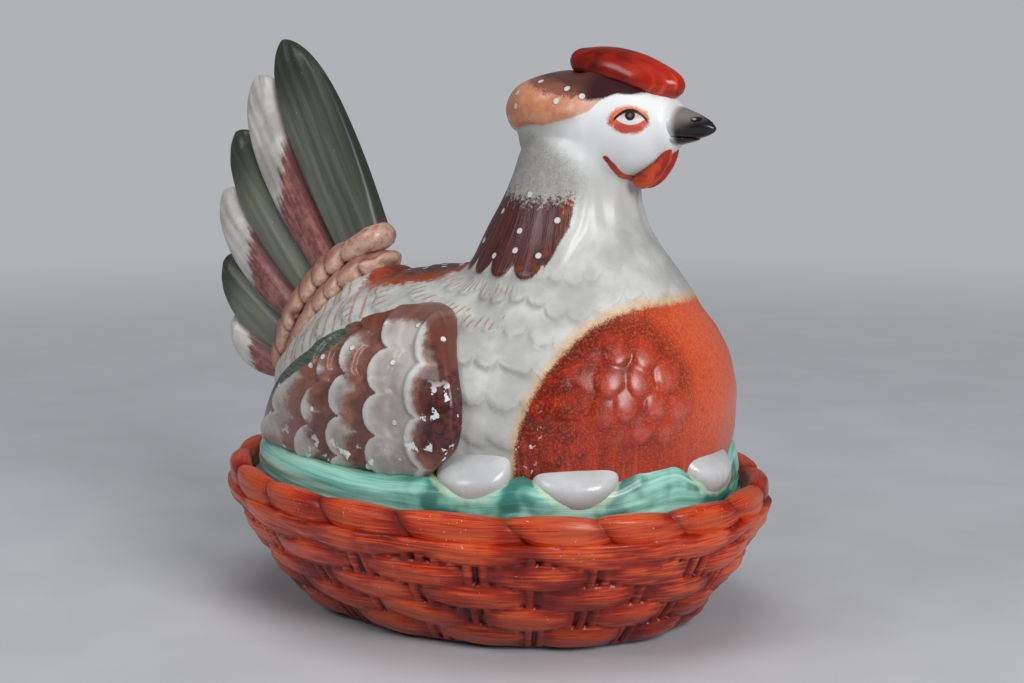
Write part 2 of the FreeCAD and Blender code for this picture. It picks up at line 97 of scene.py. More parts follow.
# %% One output of a material's nodes
class Tone:
    """A number, colour or vector that a material's node gives out."""

    def __init__(self, tree, socket=None):
        self.tree = tree
        self.socket = socket

    def node(self, kind, settings=None, sockets=None, output=0):
        """Any node: first its settings, then its sockets' values or links. Gives one of its outputs."""
        made = self.tree.nodes.new(kind)
        for key, value in (settings or {}).items():
            setattr(made, key, value)
        for key, value in (sockets or {}).items():
            if isinstance(value, Tone):
                self.tree.links.new(value.socket, made.inputs[key])
            else:
                made.inputs[key].default_value = value
        return Tone(self.tree, made.outputs[output]) if made.outputs else None

    def math(self, operation, *operands):
        """A Math node on some numbers."""
        return self.node("ShaderNodeMath", {"operation": operation}, dict(enumerate(operands)))

    def __add__(self, other):
        return self.math("ADD", self, other)

    def __mul__(self, other):
        return self.math("MULTIPLY", self, other)

    def __sub__(self, other):
        return self.math("SUBTRACT", self, other)

    def __rsub__(self, other):
        return self.math("SUBTRACT", other, self)

    def __truediv__(self, other):
        return self.math("DIVIDE", self, other)

    def __abs__(self):
        return self.math("ABSOLUTE", self)

    __radd__ = __add__
    __rmul__ = __mul__

    def power(self, exponent):
        return self.math("POWER", self, exponent)

    def wave(self):
        return self.math("SINE", self)

    def least(self, other):
        return self.math("MINIMUM", self, other)

    def most(self, other):
        return self.math("MAXIMUM", self, other)

    def fade(self, low, high):
        """0 at low, 1 at high, with a soft step between."""
        ends = {"Value": self, "From Min": low, "From Max": high}
        return self.node("ShaderNodeMapRange", {"interpolation_type": "SMOOTHSTEP"}, ends)

    def paint(self, under, over):
        """The under colour with the over colour laid on it where this mask is 1."""
        return self.node("ShaderNodeMix", {"data_type": "RGBA"}, {0: self, 6: under, 7: over}, 2)


def colour(red, green, blue):
    """A colour given on a screen's scale of 0 to 255, as the linear light that shaders use."""
    linear = []
    for value in (red, green, blue):
        share = value / 255
        linear.append(share / 12.92 if share <= 0.04045 else ((share + 0.055) / 1.055) ** 2.4)
    return (*linear, 1.0)


print("Tone is ready; mid grey is", round(colour(128, 128, 128)[0], 3), "in linear light")

# %% [markdown]
# ## Grain, brush marks and notes
# Three kinds of texture feed every glaze. Grain is noise in the object's own space, measured in millimetres.
# Brush marks are noise stretched along a direction that each piece keeps at its vertices, as its flow.
# Notes are numbers kept at the vertices, such as the distance to the edge of a patch of paint.

# %% Textures that the glazes share
class Glaze:
    """A porcelain material while it is made: its textures, and at the end its shader."""

    def __init__(self, name):
        self.material = bpy.data.materials.new(name)
        self.material.use_nodes = True
        self.tree = self.material.node_tree
        self.tree.nodes.clear()
        self.start = Tone(self.tree)
        self.place = self.start.node("ShaderNodeTexCoord", output=3)

    def note(self, name, vector=False):
        """A number, or a vector, that the piece keeps at its vertices."""
        return self.start.node("ShaderNodeAttribute", {"attribute_name": name}, output=1 if vector else 2)

    def axis(self, vector, index):
        """One number of a vector: 0, 1 or 2."""
        return self.start.node("ShaderNodeSeparateXYZ", None, {0: vector}, index)

    def stretched(self, vector, factors):
        """A vector with each of its numbers multiplied."""
        settings = {"operation": "MULTIPLY"}
        return self.start.node("ShaderNodeVectorMath", settings, {0: vector, 1: factors})

    def length(self, vector):
        """How long a vector is."""
        return self.start.node("ShaderNodeVectorMath", {"operation": "LENGTH"}, {0: vector}, 1)

    def noise(self, vector, detail, roughness=0.55):
        """Noise whose blots are about one unit of the vector across."""
        sockets = {"Vector": vector, "Scale": 1.0, "Detail": detail, "Roughness": roughness}
        return self.start.node("ShaderNodeTexNoise", None, sockets)

    def grain(self, size, detail=2.0):
        """Noise whose blots are about this many millimetres across."""
        return self.noise(self.stretched(self.place, (1 / (size * MM),) * 3), detail)

    def brush(self, width, length, detail=2.0):
        """Noise drawn out along the piece's flow, in millimetres across and along a stroke."""
        return self.noise(self.stretched(self.note("flow", True), (1 / width, 1 / length, 0.1)), detail)

    def finish(self, base, rough, bump=None, height=0.3, coat=0.35, coat_rough=0.16):
        """The glossy shader. height is the bump's full depth in millimetres."""
        sockets = {"Base Color": base, "Roughness": rough, "Coat Weight": coat}
        sockets.update({"Coat Roughness": coat_rough, "IOR": 1.5, "Specular IOR Level": 0.3})
        if bump is not None:
            depth = {"Height": bump, "Distance": height * MM, "Strength": 1.0}
            sockets["Normal"] = self.start.node("ShaderNodeBump", None, depth)
        shader = self.start.node("ShaderNodeBsdfPrincipled", None, sockets)
        self.start.node("ShaderNodeOutputMaterial", None, {"Surface": shader})
        return self.material


porcelain = colour(198, 198, 194)
shaded_porcelain = colour(170, 170, 165)
bright_porcelain = colour(222, 223, 222)
print("Porcelain's white is", [round(value, 2) for value in porcelain[:3]])

# %% [markdown]
# ## Meshes from numbers
# A clay part's mesh is a list of points and a list of faces. Working on them as arrays of numbers is quick
# and gives the same result on every run. These helpers make a piece, keep notes on it, and read its
# neighbours. Lengths are in millimetres until a mesh is made, because a potter measures in them.

# %% Make a piece and keep notes on it
def piece_from(name, points, faces, body, slot, *nodes):
    """A smooth-shaded piece from points in millimetres, riding on a body and standing for some nodes."""
    points = np.asarray(points).reshape(-1, 3)  # a swept piece comes as rings of points
    mesh = bpy.data.meshes.new(name)
    mesh.from_pydata((points * MM).tolist(), [], np.asarray(faces).tolist())
    mesh.shade_smooth()
    piece = bpy.data.objects.new(name, mesh)
    bpy.context.collection.objects.link(piece)
    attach(piece, body)
    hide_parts(*nodes)
    print(f"{name}: {len(mesh.vertices)} points, {len(mesh.polygons)} faces")
    return piece


def keep_notes(piece, **notes):
    """Keeps numbers, or vectors, at the piece's vertices for its glaze to read."""
    for name, values in notes.items():
        values = np.asarray(values, dtype=np.float32).ravel()
        is_vector = values.size == 3 * len(piece.data.vertices)
        layer = piece.data.attributes.new(name, "FLOAT_VECTOR" if is_vector else "FLOAT", "POINT")
        layer.data.foreach_set("vector" if is_vector else "value", values)


def paint_with(glaze, *pieces):
    """Puts one glaze on some pieces and says how many nodes it took."""
    for piece in pieces:
        piece.data.materials.append(glaze)
    print(f"{glaze.name}: {len(glaze.node_tree.nodes)} nodes, on {len(pieces)} pieces")


def box_of(node):
    """The lower and upper corner of a solid's box in millimetres."""
    return [np.array(corner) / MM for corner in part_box(node)]


print("Pieces carry notes for their glazes")

# %% Read a mesh's points, normals and neighbours
def points_of(mesh):
    """The mesh's points in millimetres."""
    points = np.empty(len(mesh.vertices) * 3)
    mesh.vertices.foreach_get("co", points)
    return points.reshape(-1, 3) / MM


def normals_of(points, faces):
    """Smooth normals at the points of a mesh of quads."""
    diagonal = points[faces[:, 2]] - points[faces[:, 0]]
    other = points[faces[:, 3]] - points[faces[:, 1]]
    facing = np.cross(diagonal, other)
    total = np.zeros_like(points)
    for corner in range(4):
        for axis in range(3):
            total[:, axis] += np.bincount(faces[:, corner], facing[:, axis], len(points))
    return total / np.maximum(np.linalg.norm(total, axis=1, keepdims=True), 1e-9)


def edges_of(faces):
    """Every pair of neighbouring points of a mesh of quads."""
    pairs = np.concatenate([faces[:, [k, (k + 1) % 4]] for k in range(4)])
    return np.unique(np.sort(pairs, axis=1), axis=0)


def relaxed(values, edges, weight, rounds):
    """Draws each point, or number, towards the mean of its neighbours, as a wet sponge softens clay."""
    values = np.array(values, dtype=float)
    first, second = edges.T
    size = len(values)
    count = np.bincount(first, minlength=size) + np.bincount(second, minlength=size)
    columns = values.reshape(size, -1)
    for _ in range(rounds):
        for column in range(columns.shape[1]):
            now = columns[:, column]
            total = np.bincount(first, now[second], size) + np.bincount(second, now[first], size)
            columns[:, column] = now + weight * (total / np.maximum(count, 1) - now)
    return columns.reshape(values.shape)


print("A mesh can be read, and softened with relaxed()")

# %% Wrap solids in an even skin, or lay a grid
def remeshed(name, nodes, voxel, swell=0.0):
    """One closed skin of even quads round some nodes. swell joins nodes that a slip joint parts."""
    work = bmesh.new()
    for node in nodes:
        work.from_mesh(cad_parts[node].data)
    bmesh.ops.remove_doubles(work, verts=work.verts, dist=0.01 * MM)
    work.normal_update()
    for point in work.verts:
        point.co += point.normal * swell * MM
    mesh = bpy.data.meshes.new(name)
    work.to_mesh(mesh)
    work.free()
    former = bpy.data.objects.new(name, mesh)
    bpy.context.collection.objects.link(former)
    step = former.modifiers.new("skin", "REMESH")
    step.mode = "VOXEL"
    step.voxel_size = voxel * MM
    evaluated = former.evaluated_get(bpy.context.evaluated_depsgraph_get())
    even = bpy.data.meshes.new_from_object(evaluated)
    points = points_of(even)
    faces = np.array([face.vertices[:] for face in even.polygons])
    bpy.data.objects.remove(former)
    return points, faces


def grid_faces(rows, columns, wrap_rows=False):
    """Quads of a grid of points whose columns run round a closed loop."""
    row, column = np.meshgrid(np.arange(rows if wrap_rows else rows - 1), np.arange(columns), indexing="ij")
    here, above = row * columns, (row + 1) % rows * columns
    beside = (column + 1) % columns
    return np.stack([here + column, here + beside, above + beside, above + column], axis=-1).reshape(-1, 4)


def close_ends(piece, rows, columns):
    """Fills the first and the last ring of a swept piece."""
    work = bmesh.new()
    work.from_mesh(piece.data)
    work.verts.ensure_lookup_table()
    work.faces.new([work.verts[k] for k in range(columns)][::-1])
    work.faces.new([work.verts[(rows - 1) * columns + k] for k in range(columns)])
    work.to_mesh(piece.data)
    work.free()


print("A grid of 3 by 4 points has", len(grid_faces(3, 4)), "quads")

# %% [markdown]
# ## Soft steps and uneven lines
# Hand-made relief has soft edges and no straight line. Two soft steps and one wobbly line, whose random
# heights come from a fixed seed, shape every relief below, so each run gives the same hen.

# %% Soft steps, wobbles and lines
def rise(values, low, high):
    """0 at low, 1 at high, with a soft step between."""
    share = np.clip((values - low) / (high - low), 0, 1)
    return share * share * (3 - 2 * share)


def bump_at(values, middle, half_width):
    """1 at the middle, falling softly to 0 at the half width."""
    share = np.clip(1 - np.abs(values - middle) / half_width, 0, 1)
    return share * share * (3 - 2 * share)


def wobble(values, size, seed):
    """A smooth uneven line through random heights from -1 to 1, one for each size of its length."""
    count = 4096
    heights = np.random.default_rng(seed).uniform(-1, 1, count)
    place = np.asarray(values) / size + count / 2
    whole = np.floor(place).astype(int) % (count - 1)
    part = place - np.floor(place)
    part = part * part * (3 - 2 * part)
    return heights[whole] * (1 - part) + heights[whole + 1] * part


def line_through(values, *places):
    """The height, at some values, of the line that runs through some places."""
    along, heights = zip(*places)
    return np.interp(values, along, heights)


fineness = 1.0
print("Quick look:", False)

# %% [markdown]
# ## Rounded feathers that overlap
# Feathers, like roof tiles, lie in rows. Each ends in a round rim and covers the root of the next one down.
# The formula walks the rows from the top. The first feather whose rim lies beyond a point covers it.
# It gives one signed number that runs smoothly across a rim: how far the point lies above its own feather's
# rim or, just below a rim, how far below it as a minus. Relief and paint both follow that number, so a rim
# stays a clean line however coarse the mesh is.

# %% Which feather covers a point
under_a_rim = 12.0  # kept as the distance above a rim where a point lies just below one instead
none_passed = 99.0  # stands for the distance below the last rim where no rim was passed yet
far_below = 20.0  # no relief or paint reaches so far below a rim
own_reach = 4.0  # within this distance above its rim a point always belongs to its own feather


def overlapping(across, down, pitch, bulge):
    """For places measured in feathers across and millimetres down: the signed distance from the rim,
    the share across the feather, from -1 to 1, and the distance below the last rim passed."""
    first = np.floor(down / pitch).astype(int) - 2
    above_rim = np.zeros(len(down))
    below_last = np.full(len(down), none_passed)
    share_across = np.zeros(len(down))
    open_still = np.ones(len(down), dtype=bool)
    for step in range(5):
        row = first + step
        share = ((across + 0.5 * (row % 2)) % 1.0) * 2 - 1
        reach = row * pitch + bulge * np.sqrt(1 - share**2) - down
        found = open_still & (reach > 0)
        above_rim[found] = reach[found]
        share_across[found] = share[found]
        open_still &= ~found
        below_last[open_still] = np.minimum(below_last, -reach)[open_still]
    from_rim = np.where((above_rim < own_reach) | (above_rim < below_last), above_rim, -below_last)
    return from_rim, share_across, np.minimum(below_last, far_below)


def tile_height(from_rim, length, drop):
    """Height of a feather, from 0 at its hidden root to 1 at its rim, then down over the drop's width."""
    above = np.clip(1 - from_rim / length, 0, 1)
    below = np.clip(1 + from_rim / drop, 0, 1)
    return np.where(from_rim >= 0, above, np.where(from_rim > -drop, below, 0.0))


trial = overlapping(np.array([0.5, 0.5]), np.array([3.0, 9.0]), 12.0, 5.0)
print("Two places on one feather lie", np.round(trial[0], 1), "mm from its rim")

# %% [markdown]
# ## The hen's skin
# Body, neck, head, crest and tail root were luted together and sponged until no joint showed, then glazed as
# one. A voxel remesh wraps them in one even skin. Near the joints that skin is relaxed, which rounds the
# creases as the sponge did. The hollow inside stays, because it shows when the cover is lifted.

# %% Wrap the clay parts in one skin
neck_axis_x = 36.0
hen_nodes = ("hen_body", "neck", "head", "crest", "tail_root")
skin_voxel, skin_swell = 0.85 * fineness, 0.3
skin_points, skin_faces = remeshed("hen_form", hen_nodes, skin_voxel, skin_swell)
skin_edges = edges_of(skin_faces)
print("Skin:", len(skin_points), "points")

# %% Sponge the joints
neck_foot_height, neck_foot_reach = 126.0, 62.0
under_head_height, crest_foot_height, crest_foot_x = 172.0, 186.0, 44.0
tail_foot_x, tail_foot_height = -62.0, 112.0
beak_root_x, beak_root_height = 73.5, 184.0
wet_rounds, damp_rounds = 110, 26  # rounds of sponging at full fineness


def sponge(points, edges):
    """Relaxes the skin: a little everywhere, and much more round the neck's foot and under the head."""
    x, y, z = points.T
    from_axis = np.hypot(x - neck_axis_x, y)
    neck_foot = bump_at(z, neck_foot_height, 22.0) * (from_axis < neck_foot_reach)
    under_head = bump_at(z, under_head_height, 9.0) * rise(x, 28.0, 42.0)
    crest_foot = bump_at(z, crest_foot_height, 7.0) * bump_at(x, crest_foot_x, 12.0)
    tail_foot = bump_at(x, tail_foot_x, 34.0) * bump_at(z, tail_foot_height, 24.0)
    points = relaxed(points, edges, 0.5, 4)
    weight = np.clip(neck_foot + tail_foot, 0, 1) * 0.9
    points = relaxed(points, edges, weight, round(wet_rounds / fineness**2))
    beak_root = rise(x, beak_root_x, beak_root_x + 2.5) * bump_at(z, beak_root_height, 12.0)
    weight = np.clip(0.8 * under_head + 0.5 * crest_foot + 0.9 * beak_root, 0, 1)
    return relaxed(points, edges, weight, round(damp_rounds / fineness**2))


skin_points = sponge(skin_points, skin_edges)
skin_normals = normals_of(skin_points, skin_faces)
print("Sponged; the skin now reaches", np.round(skin_points.max(axis=0), 1))

# %% [markdown]
# ## Finding the outside, and how far down the hen a feather lies
# Feathers are pressed only on the outside, so the inner wall is told apart by which way its normals point,
# seen from a line that runs through the middle of body, neck and head. Feather rows run down from the head
# all round. They need the walk over the surface, not the height, because the back is level. A shortest path
# search from the head over the mesh gives that walk.

# %% Outside
body_middle_height, body_back_x, body_front_x = 78.0, -62.0, 60.0
neck_middle_x = neck_axis_x + 4.0
head_middle_x, head_middle_height = 42.0, 182.0
tail_middle = (-60.0, 0.0, 90.0)


def outward_share(points, normals):
    """1 on the outside of the hen, 0 on the inner wall."""
    x, y, z = points.T
    middle = np.zeros_like(points)
    in_neck = np.clip((z - 112.0) / 20.0, 0, 1) * np.clip((x + 10.0) / 15.0, 0, 1)
    middle[:, 0] = np.clip(x, body_back_x, body_front_x) * (1 - in_neck) + neck_middle_x * in_neck
    middle[:, 2] = body_middle_height * (1 - in_neck) + z * in_neck
    on_head = np.clip((z - 168.0) / 8.0, 0, 1)
    middle[:, 0] += on_head * (head_middle_x - middle[:, 0])
    middle[:, 2] += on_head * (head_middle_height - middle[:, 2])
    middle[(x < -70.0) & (z > 90.0)] = tail_middle
    towards = points - middle
    towards /= np.maximum(np.linalg.norm(towards, axis=1, keepdims=True), 1e-9)
    return np.clip((towards * normals).sum(axis=1) * 4 + 0.5, 0, 1)


outside = outward_share(skin_points, skin_normals)
skin_x, skin_y, skin_z = skin_points.T
turn = np.degrees(np.arctan2(-skin_y, skin_x - neck_axis_x))  # 0 straight ahead, positive to the hen's right
turn_size = np.abs(turn)
print("Outside points:", int((outside > 0.5).sum()))

# %% Walk
def walk_down(points, faces, sources):
    """Length of the shortest path over the mesh from the sources to every point."""
    links = [[] for _ in range(len(points))]
    pairs = [(0, 1), (1, 2), (2, 3), (3, 0), (0, 2), (1, 3)]
    for one, other in pairs:
        starts, ends = faces[:, one], faces[:, other]
        lengths = np.linalg.norm(points[starts] - points[ends], axis=1)
        for start, end, length in zip(starts.tolist(), ends.tolist(), lengths.tolist()):
            links[start].append((end, length))
            links[end].append((start, length))
    walked = [math.inf] * len(points)
    queue = [(0.0, index) for index in sources.tolist()]
    for _, index in queue:
        walked[index] = 0.0
    heapq.heapify(queue)
    while queue:
        so_far, index = heapq.heappop(queue)
        if so_far > walked[index]:
            continue
        for beside, length in links[index]:
            if so_far + length < walked[beside]:
                walked[beside] = so_far + length
                heapq.heappush(queue, (walked[beside], beside))
    walked = np.array(walked)
    return np.where(np.isfinite(walked), walked, 0.0)


walk_start_height = 176.0
walk_start = np.flatnonzero((skin_z > walk_start_height) & (outside > 0.5))
walk = walk_down(skin_points, skin_faces, walk_start)
print("Longest walk", round(float(walk.max()), 1), "mm")

# %% [markdown]
# ## Pressing the feathers
# Four reliefs share the skin. Broad, low, rounded feathers cover the body. Long neck feathers, the hackle,
# hang from the head in a raised cape with grooves between them. The crest rolls out over the nape, and a
# clump of glossy lobes sits on the breast. Each is a height in millimetres at every point, worked out by a
# formula rather than carved, so that it can be tuned with one number.

# %% Rows of body feathers
feathers_round = 31
feather_pitch, feather_bulge = 13.5, 6.0
feather_root, feather_drop = 10.0, 1.6  # the length of a feather's slope, and the width of its fall
feather_turn = turn / 360 * feathers_round + 0.3 * wobble(walk, 9.0, 2) + 0.2 * wobble(turn, 17.0, 6)
feather_walk = walk + 3.4 * wobble(turn, 13.0, 7) + 2.0 * wobble(turn, 31.0, 17)
from_rim, share_across, since_rim = overlapping(feather_turn, feather_walk, feather_pitch, feather_bulge)
feather_domed = 0.6 + 0.4 * np.sqrt(1 - share_across**2)
feather_rise = tile_height(from_rim, feather_root, feather_drop) * feather_domed
print("Feathers in one row:", feathers_round)

# %% Hackle
hackle_pitch = 19.0  # degrees from one hackle feather to the next
hackle_first = 85.0  # degrees round to the middle of the foremost one
hackle_tip_height, hackle_tip_bulge = 130.0, 6.5


def hackle_front(height):
    """Degrees from straight ahead at which the brown neck feathers start."""
    return line_through(height, (130, 77), (134, 74), (138, 70), (143.6, 65.5), (148, 60), (153, 57.7),
                        (160, 55), (178, 50))


hackle_share = ((turn_size - hackle_first) / hackle_pitch + 0.5) % 1.0 * 2 - 1
hackle_end = hackle_tip_height + hackle_tip_bulge * (1 - np.sqrt(1 - hackle_share**2))
neck_radius = np.hypot(skin_x - neck_axis_x, skin_y)
to_front = np.radians(turn_size - hackle_front(skin_z)) * neck_radius
to_end = (skin_z - hackle_end) * 0.8
cape = rise(to_front, -5.5, -3.8) * rise(skin_z, 128.5, 132.0) * rise(-skin_z, -180.0, -172.0)
hackle_lobe = rise(to_front, -1.5, 0.5) * rise(to_end, -0.7, 0.5)
grooves = np.sqrt(1 - hackle_share**2) * rise(-skin_z, -176.0, -160.0) * rise(to_front, -2.0, 4.0)
throat = bump_at(skin_z, 160.0, 26.0) * (1 - cape)
flutes = 0.5 * np.cos(np.radians(turn * 16.0) + 0.8 * wobble(skin_z, 14.0, 41)) * throat
print("The cape covers", int((cape > 0.5).sum()), "points")

# %% Crest's rolled edge and the low crown before it
crest_low = line_through(skin_x, (12, 180), (20, 182), (28.6, 184.5), (35.6, 183.5), (42.5, 185.1),
                         (48.8, 186.5), (54, 189), (57.4, 193), (62, 195), (72, 194))
crest_edge = skin_z - crest_low
crest_roll = rise(crest_edge, -0.9, 1.1) * rise(-skin_x, -57.0, -47.0)
crest_roll *= 1.5 + 0.35 * wobble(turn, 14.0, 61) * rise(-crest_edge, -9.0, -3.0)
crown_drop = 2.2 * rise(skin_z, 194.0, 204.0) * rise(-skin_x, -52.0, -40.0)
print("The crest rolls out by", round(float(crest_roll.max()), 2), "mm")

# %% Sum of the reliefs
plain_breast = 1 - 0.75 * rise(-turn_size, -72.0, -50.0) * rise(skin_z, 60.0, 70.0)
body_share = rise(-skin_z, -150.0, -116.0) * (1 - hackle_lobe) * plain_breast
relief = feather_rise * body_share
relief += 1.0 * cape + 0.5 * hackle_lobe + 0.4 * grooves + flutes + crest_roll
relief -= crown_drop
relief = relaxed(relief, skin_edges, 0.6, 3)
print("Relief before the clump reaches", round(float(relief.max()), 2), "mm")

# %% The clump of lobes on the breast, which sits to the hen's right
clump_turn, clump_height = 32.0, 96.0
clump_half_turn, clump_half_height = 19.0, 21.0
# The middle of each lobe: degrees round to the right, and height
breast_petals = (
    (39.5, 111.0), (29.5, 109.0), (22.5, 101.5), (33.0, 100.5), (43.5, 101.0), (38.5, 92.5),
    (27.5, 92.5), (18.5, 91.0), (45.5, 90.5), (33.0, 84.5), (23.5, 83.5), (41.5, 82.0),
)
petal_slant = math.radians(34.0)
petal_half_width, petal_half_length = 5.8, 8.4
mm_in_a_degree = 1.05  # on the breast


def petal_lobes():
    """The highest lobe over each point, steep at its lower end and flat at its upper one."""
    highest = np.zeros_like(turn)
    for petal_turn, petal_height in breast_petals:
        aside, below = (turn - petal_turn) * mm_in_a_degree, petal_height - skin_z
        along = math.sin(petal_slant) * aside + math.cos(petal_slant) * below
        across = math.cos(petal_slant) * aside - math.sin(petal_slant) * below
        inside = np.clip(1 - (across / petal_half_width) ** 2 - (along / petal_half_length) ** 2, 0, 1)
        highest = np.maximum(highest, inside**0.36 * (0.5 + 0.062 * along))
    return highest


clump_reach = np.hypot((turn - clump_turn) / clump_half_turn, (clump_height - skin_z) / clump_half_height)
clump = rise(-clump_reach, -1.3, -0.55) * (skin_x > 40.0)
clump_lobe = petal_lobes()
relief = relief * (1 - clump) + clump * (0.2 + 2.4 * clump_lobe)
relief = relaxed(relief, skin_edges, 0.5, 1)
print("The clump covers", int((clump > 0.5).sum()), "points")

# %% Push the skin out by its relief
beak_middle_height, beak_half_width = 185.0, 7.5
from_beak = np.hypot(skin_y / beak_half_width, (skin_z - beak_middle_height) / beak_half_width)
beak_fillet = 2.0 * bump_at(from_beak, 0.95, 0.75) * (skin_x > 66.0)
relief += beak_fillet
smooth_normals = relaxed(skin_normals, skin_edges, 0.5, 4)
hen_points = skin_points + smooth_normals * (relief * outside)[:, None]
print("The skin is pushed out by up to", round(float((relief * outside).max()), 2), "mm")

# %% [markdown]
# ## Where the hen's colours stop
# The painter worked on the fired white glaze with sponge and brush. Each colour's edge is kept at the
# vertices as a distance in millimetres, positive inside. The glaze then roughens that distance with grain, so
# that an edge breaks into the sponge's dots instead of following the mesh.

# %% Distances to the edges of the paint
off_patch = -20.0  # a distance far outside any patch of paint
breast_half_turn, breast_low, breast_rise = 77.0, 60.0, 62.0
breast_up = np.clip(skin_z - breast_low, 0, None) / breast_rise
breast_edge = 1 - (turn_size / breast_half_turn) ** 3.5 - breast_up**2.2
breast_edge = np.where(skin_x > 30.0, 28.0 * breast_edge, off_patch)
hackle_edge = np.minimum(to_front, to_end)
hackle_top = 158.5 - skin_z + 2.0 * np.cos(np.radians(turn_size) * 2)
sponge_front = line_through(skin_z, (138, 64), (150, 50), (158, 43), (163, 40), (170, 44), (176, 60),
                            (181, 92))
sponge_edge = np.radians(turn_size - sponge_front) * neck_radius
crown_low = line_through(skin_x, (12, 206), (20, 200.5), (28, 197), (36, 194.5), (44, 193), (52, 192.8),
                         (58, 193.2), (72, 195.5))
crown_edge = skin_z - crown_low
back_patch = 12.0 - np.hypot((skin_x + 25.0) / 2.3, np.abs(skin_y) * 0.44) - 60.0 * (skin_z < 108.0)
back_patch = np.where(turn_size > 120.0, back_patch, off_patch)
print("Points under orange:", int((breast_edge > 0).sum()), "and under maroon:", int((hackle_edge > 0).sum()))

# %% [markdown]
# ## Enamel dots and the stroke under the chin
# White dots of thick enamel were set by hand on hackle, crest and back. Their places are listed,
# the hackle's by turn and height, the others' in space, and each is moved to the nearest point of the outer
# skin. So a dot stays round wherever the skin bends. Both sides of the hen share one list.

# %% Dots and stroke
# Degrees round from straight ahead, and height
hackle_dots = ((97, 159), (127, 152), (99, 146), (69, 151), (114, 137), (96.5, 139.5), (78.5, 138),
               (137, 141))
crest_dots = [(22, -18.5, 196), (32, -15.5, 199), (24, -18.8, 190), (18, -14, 186), (44, -16, 196),
              (16, -9, 193), (50, -16.5, 193), (41, -18, 192)]
back_rows, back_pair = (-35, -27, -18, -9), ((0, -6.5, 128.5), (5, -1, 129.5))
back_dots = [(x + shift, y, z) for x in back_rows for shift, y, z in back_pair]
chin_route = ((59.0, -15.6, 172.8), (60.2, -12.9, 170.3), (61.4, -8.1, 166.9), (63, 0, 164.0))


def folded_right(points):
    """The points with the hen's left side mirrored to her right."""
    return np.stack([points[:, 0], -np.abs(points[:, 1]), points[:, 2]], axis=1)


def dots_on_skin():
    """The point of the outer skin under each enamel dot."""
    outer_points = hen_points[outside > 0.5]
    found = []
    for dot_turn, height in hackle_dots:
        miss = np.hypot(turn - dot_turn, (skin_z - height)) + 1000 * (outside < 0.5)
        found.append(hen_points[np.argmin(miss)])
    for dot in back_dots + crest_dots:
        found.append(outer_points[np.argmin(np.linalg.norm(outer_points - np.array(dot), axis=1))])
    return found


print("Enamel dots for each side:", len(hackle_dots) + len(back_dots) + len(crest_dots))

# %% Measure from dots and stroke
def way_from(points, dots):
    """For each point, the way to it from the nearest dot."""
    folded = folded_right(points)
    best = np.full(len(points), np.inf)
    way = np.zeros_like(points)
    for dot in dots:
        offset = folded - dot
        length = np.linalg.norm(offset, axis=1)
        nearer = length < best
        best[nearer] = length[nearer]
        way[nearer] = offset[nearer]
    return way


def from_stroke(points, route):
    """Distance to a brush stroke that runs through some points."""
    folded = folded_right(points)
    best = np.full(len(points), np.inf)
    for start, end in zip(route[:-1], route[1:]):
        start, along = np.array(start), np.array(end, dtype=float) - np.array(start)
        share = np.clip(((folded - start) @ along) / (along @ along), 0, 1)
        best = np.minimum(best, np.linalg.norm(folded - start - share[:, None] * along, axis=1))
    return best


dot_way = way_from(hen_points, dots_on_skin())
chin_stroke = from_stroke(hen_points, chin_route)
print("Nearest point to the chin's stroke:", round(float(chin_stroke.min()), 2), "mm")

# %% Make the hen's piece and keep its notes
hen_skin = piece_from("hen_skin", hen_points, skin_faces, "cover", "hen_painted_glaze", *hen_nodes)
skin_flow = np.stack([np.radians(turn) * 40.0, walk, np.zeros(len(walk))], axis=1)
keep_notes(hen_skin, flow=skin_flow, outside=outside, turn=turn_size)
keep_notes(hen_skin, breast=breast_edge, hackle=hackle_edge, hackle_top=hackle_top, sponge=sponge_edge)
keep_notes(hen_skin, crest=crest_edge, crown=crown_edge, back_patch=back_patch, chin=chin_stroke)
keep_notes(hen_skin, dot_way=dot_way, dot_gap=np.linalg.norm(dot_way, axis=1))
keep_notes(hen_skin, rim=from_rim, since=since_rim, above=np.where(from_rim > 0, from_rim, under_a_rim))
keep_notes(hen_skin, clump=clump, clump_lobe=relaxed(clump_lobe, skin_edges, 0.5, 1), share=hackle_share)
print("Notes kept:", len(hen_skin.data.attributes))

# %% [markdown]
# ## The hen's glaze
# The paints are laid in the order of the painter's hand: white glaze, grey sponging on the neck, brown ticks,
# the orange breast, the maroon hackle, the peach crest, the eye, then white enamel dots. Chips come last,
# since wear goes through every coat. One big node graph would be hard to follow, so each coat is a short
# function that takes the colour so far and gives it back with its own paint on.

# %% Paints of the skin
maroon = colour(92, 44, 38)
deep_maroon = colour(58, 26, 26)
rust = colour(140, 58, 30)
breast_orange = colour(158, 34, 12)
breast_red = colour(92, 18, 9)
halo_yellow = colour(206, 158, 96)
peach = colour(208, 140, 98)
ink = colour(24, 20, 20)
print("Maroon in linear light:", [round(value, 3) for value in maroon[:3]])

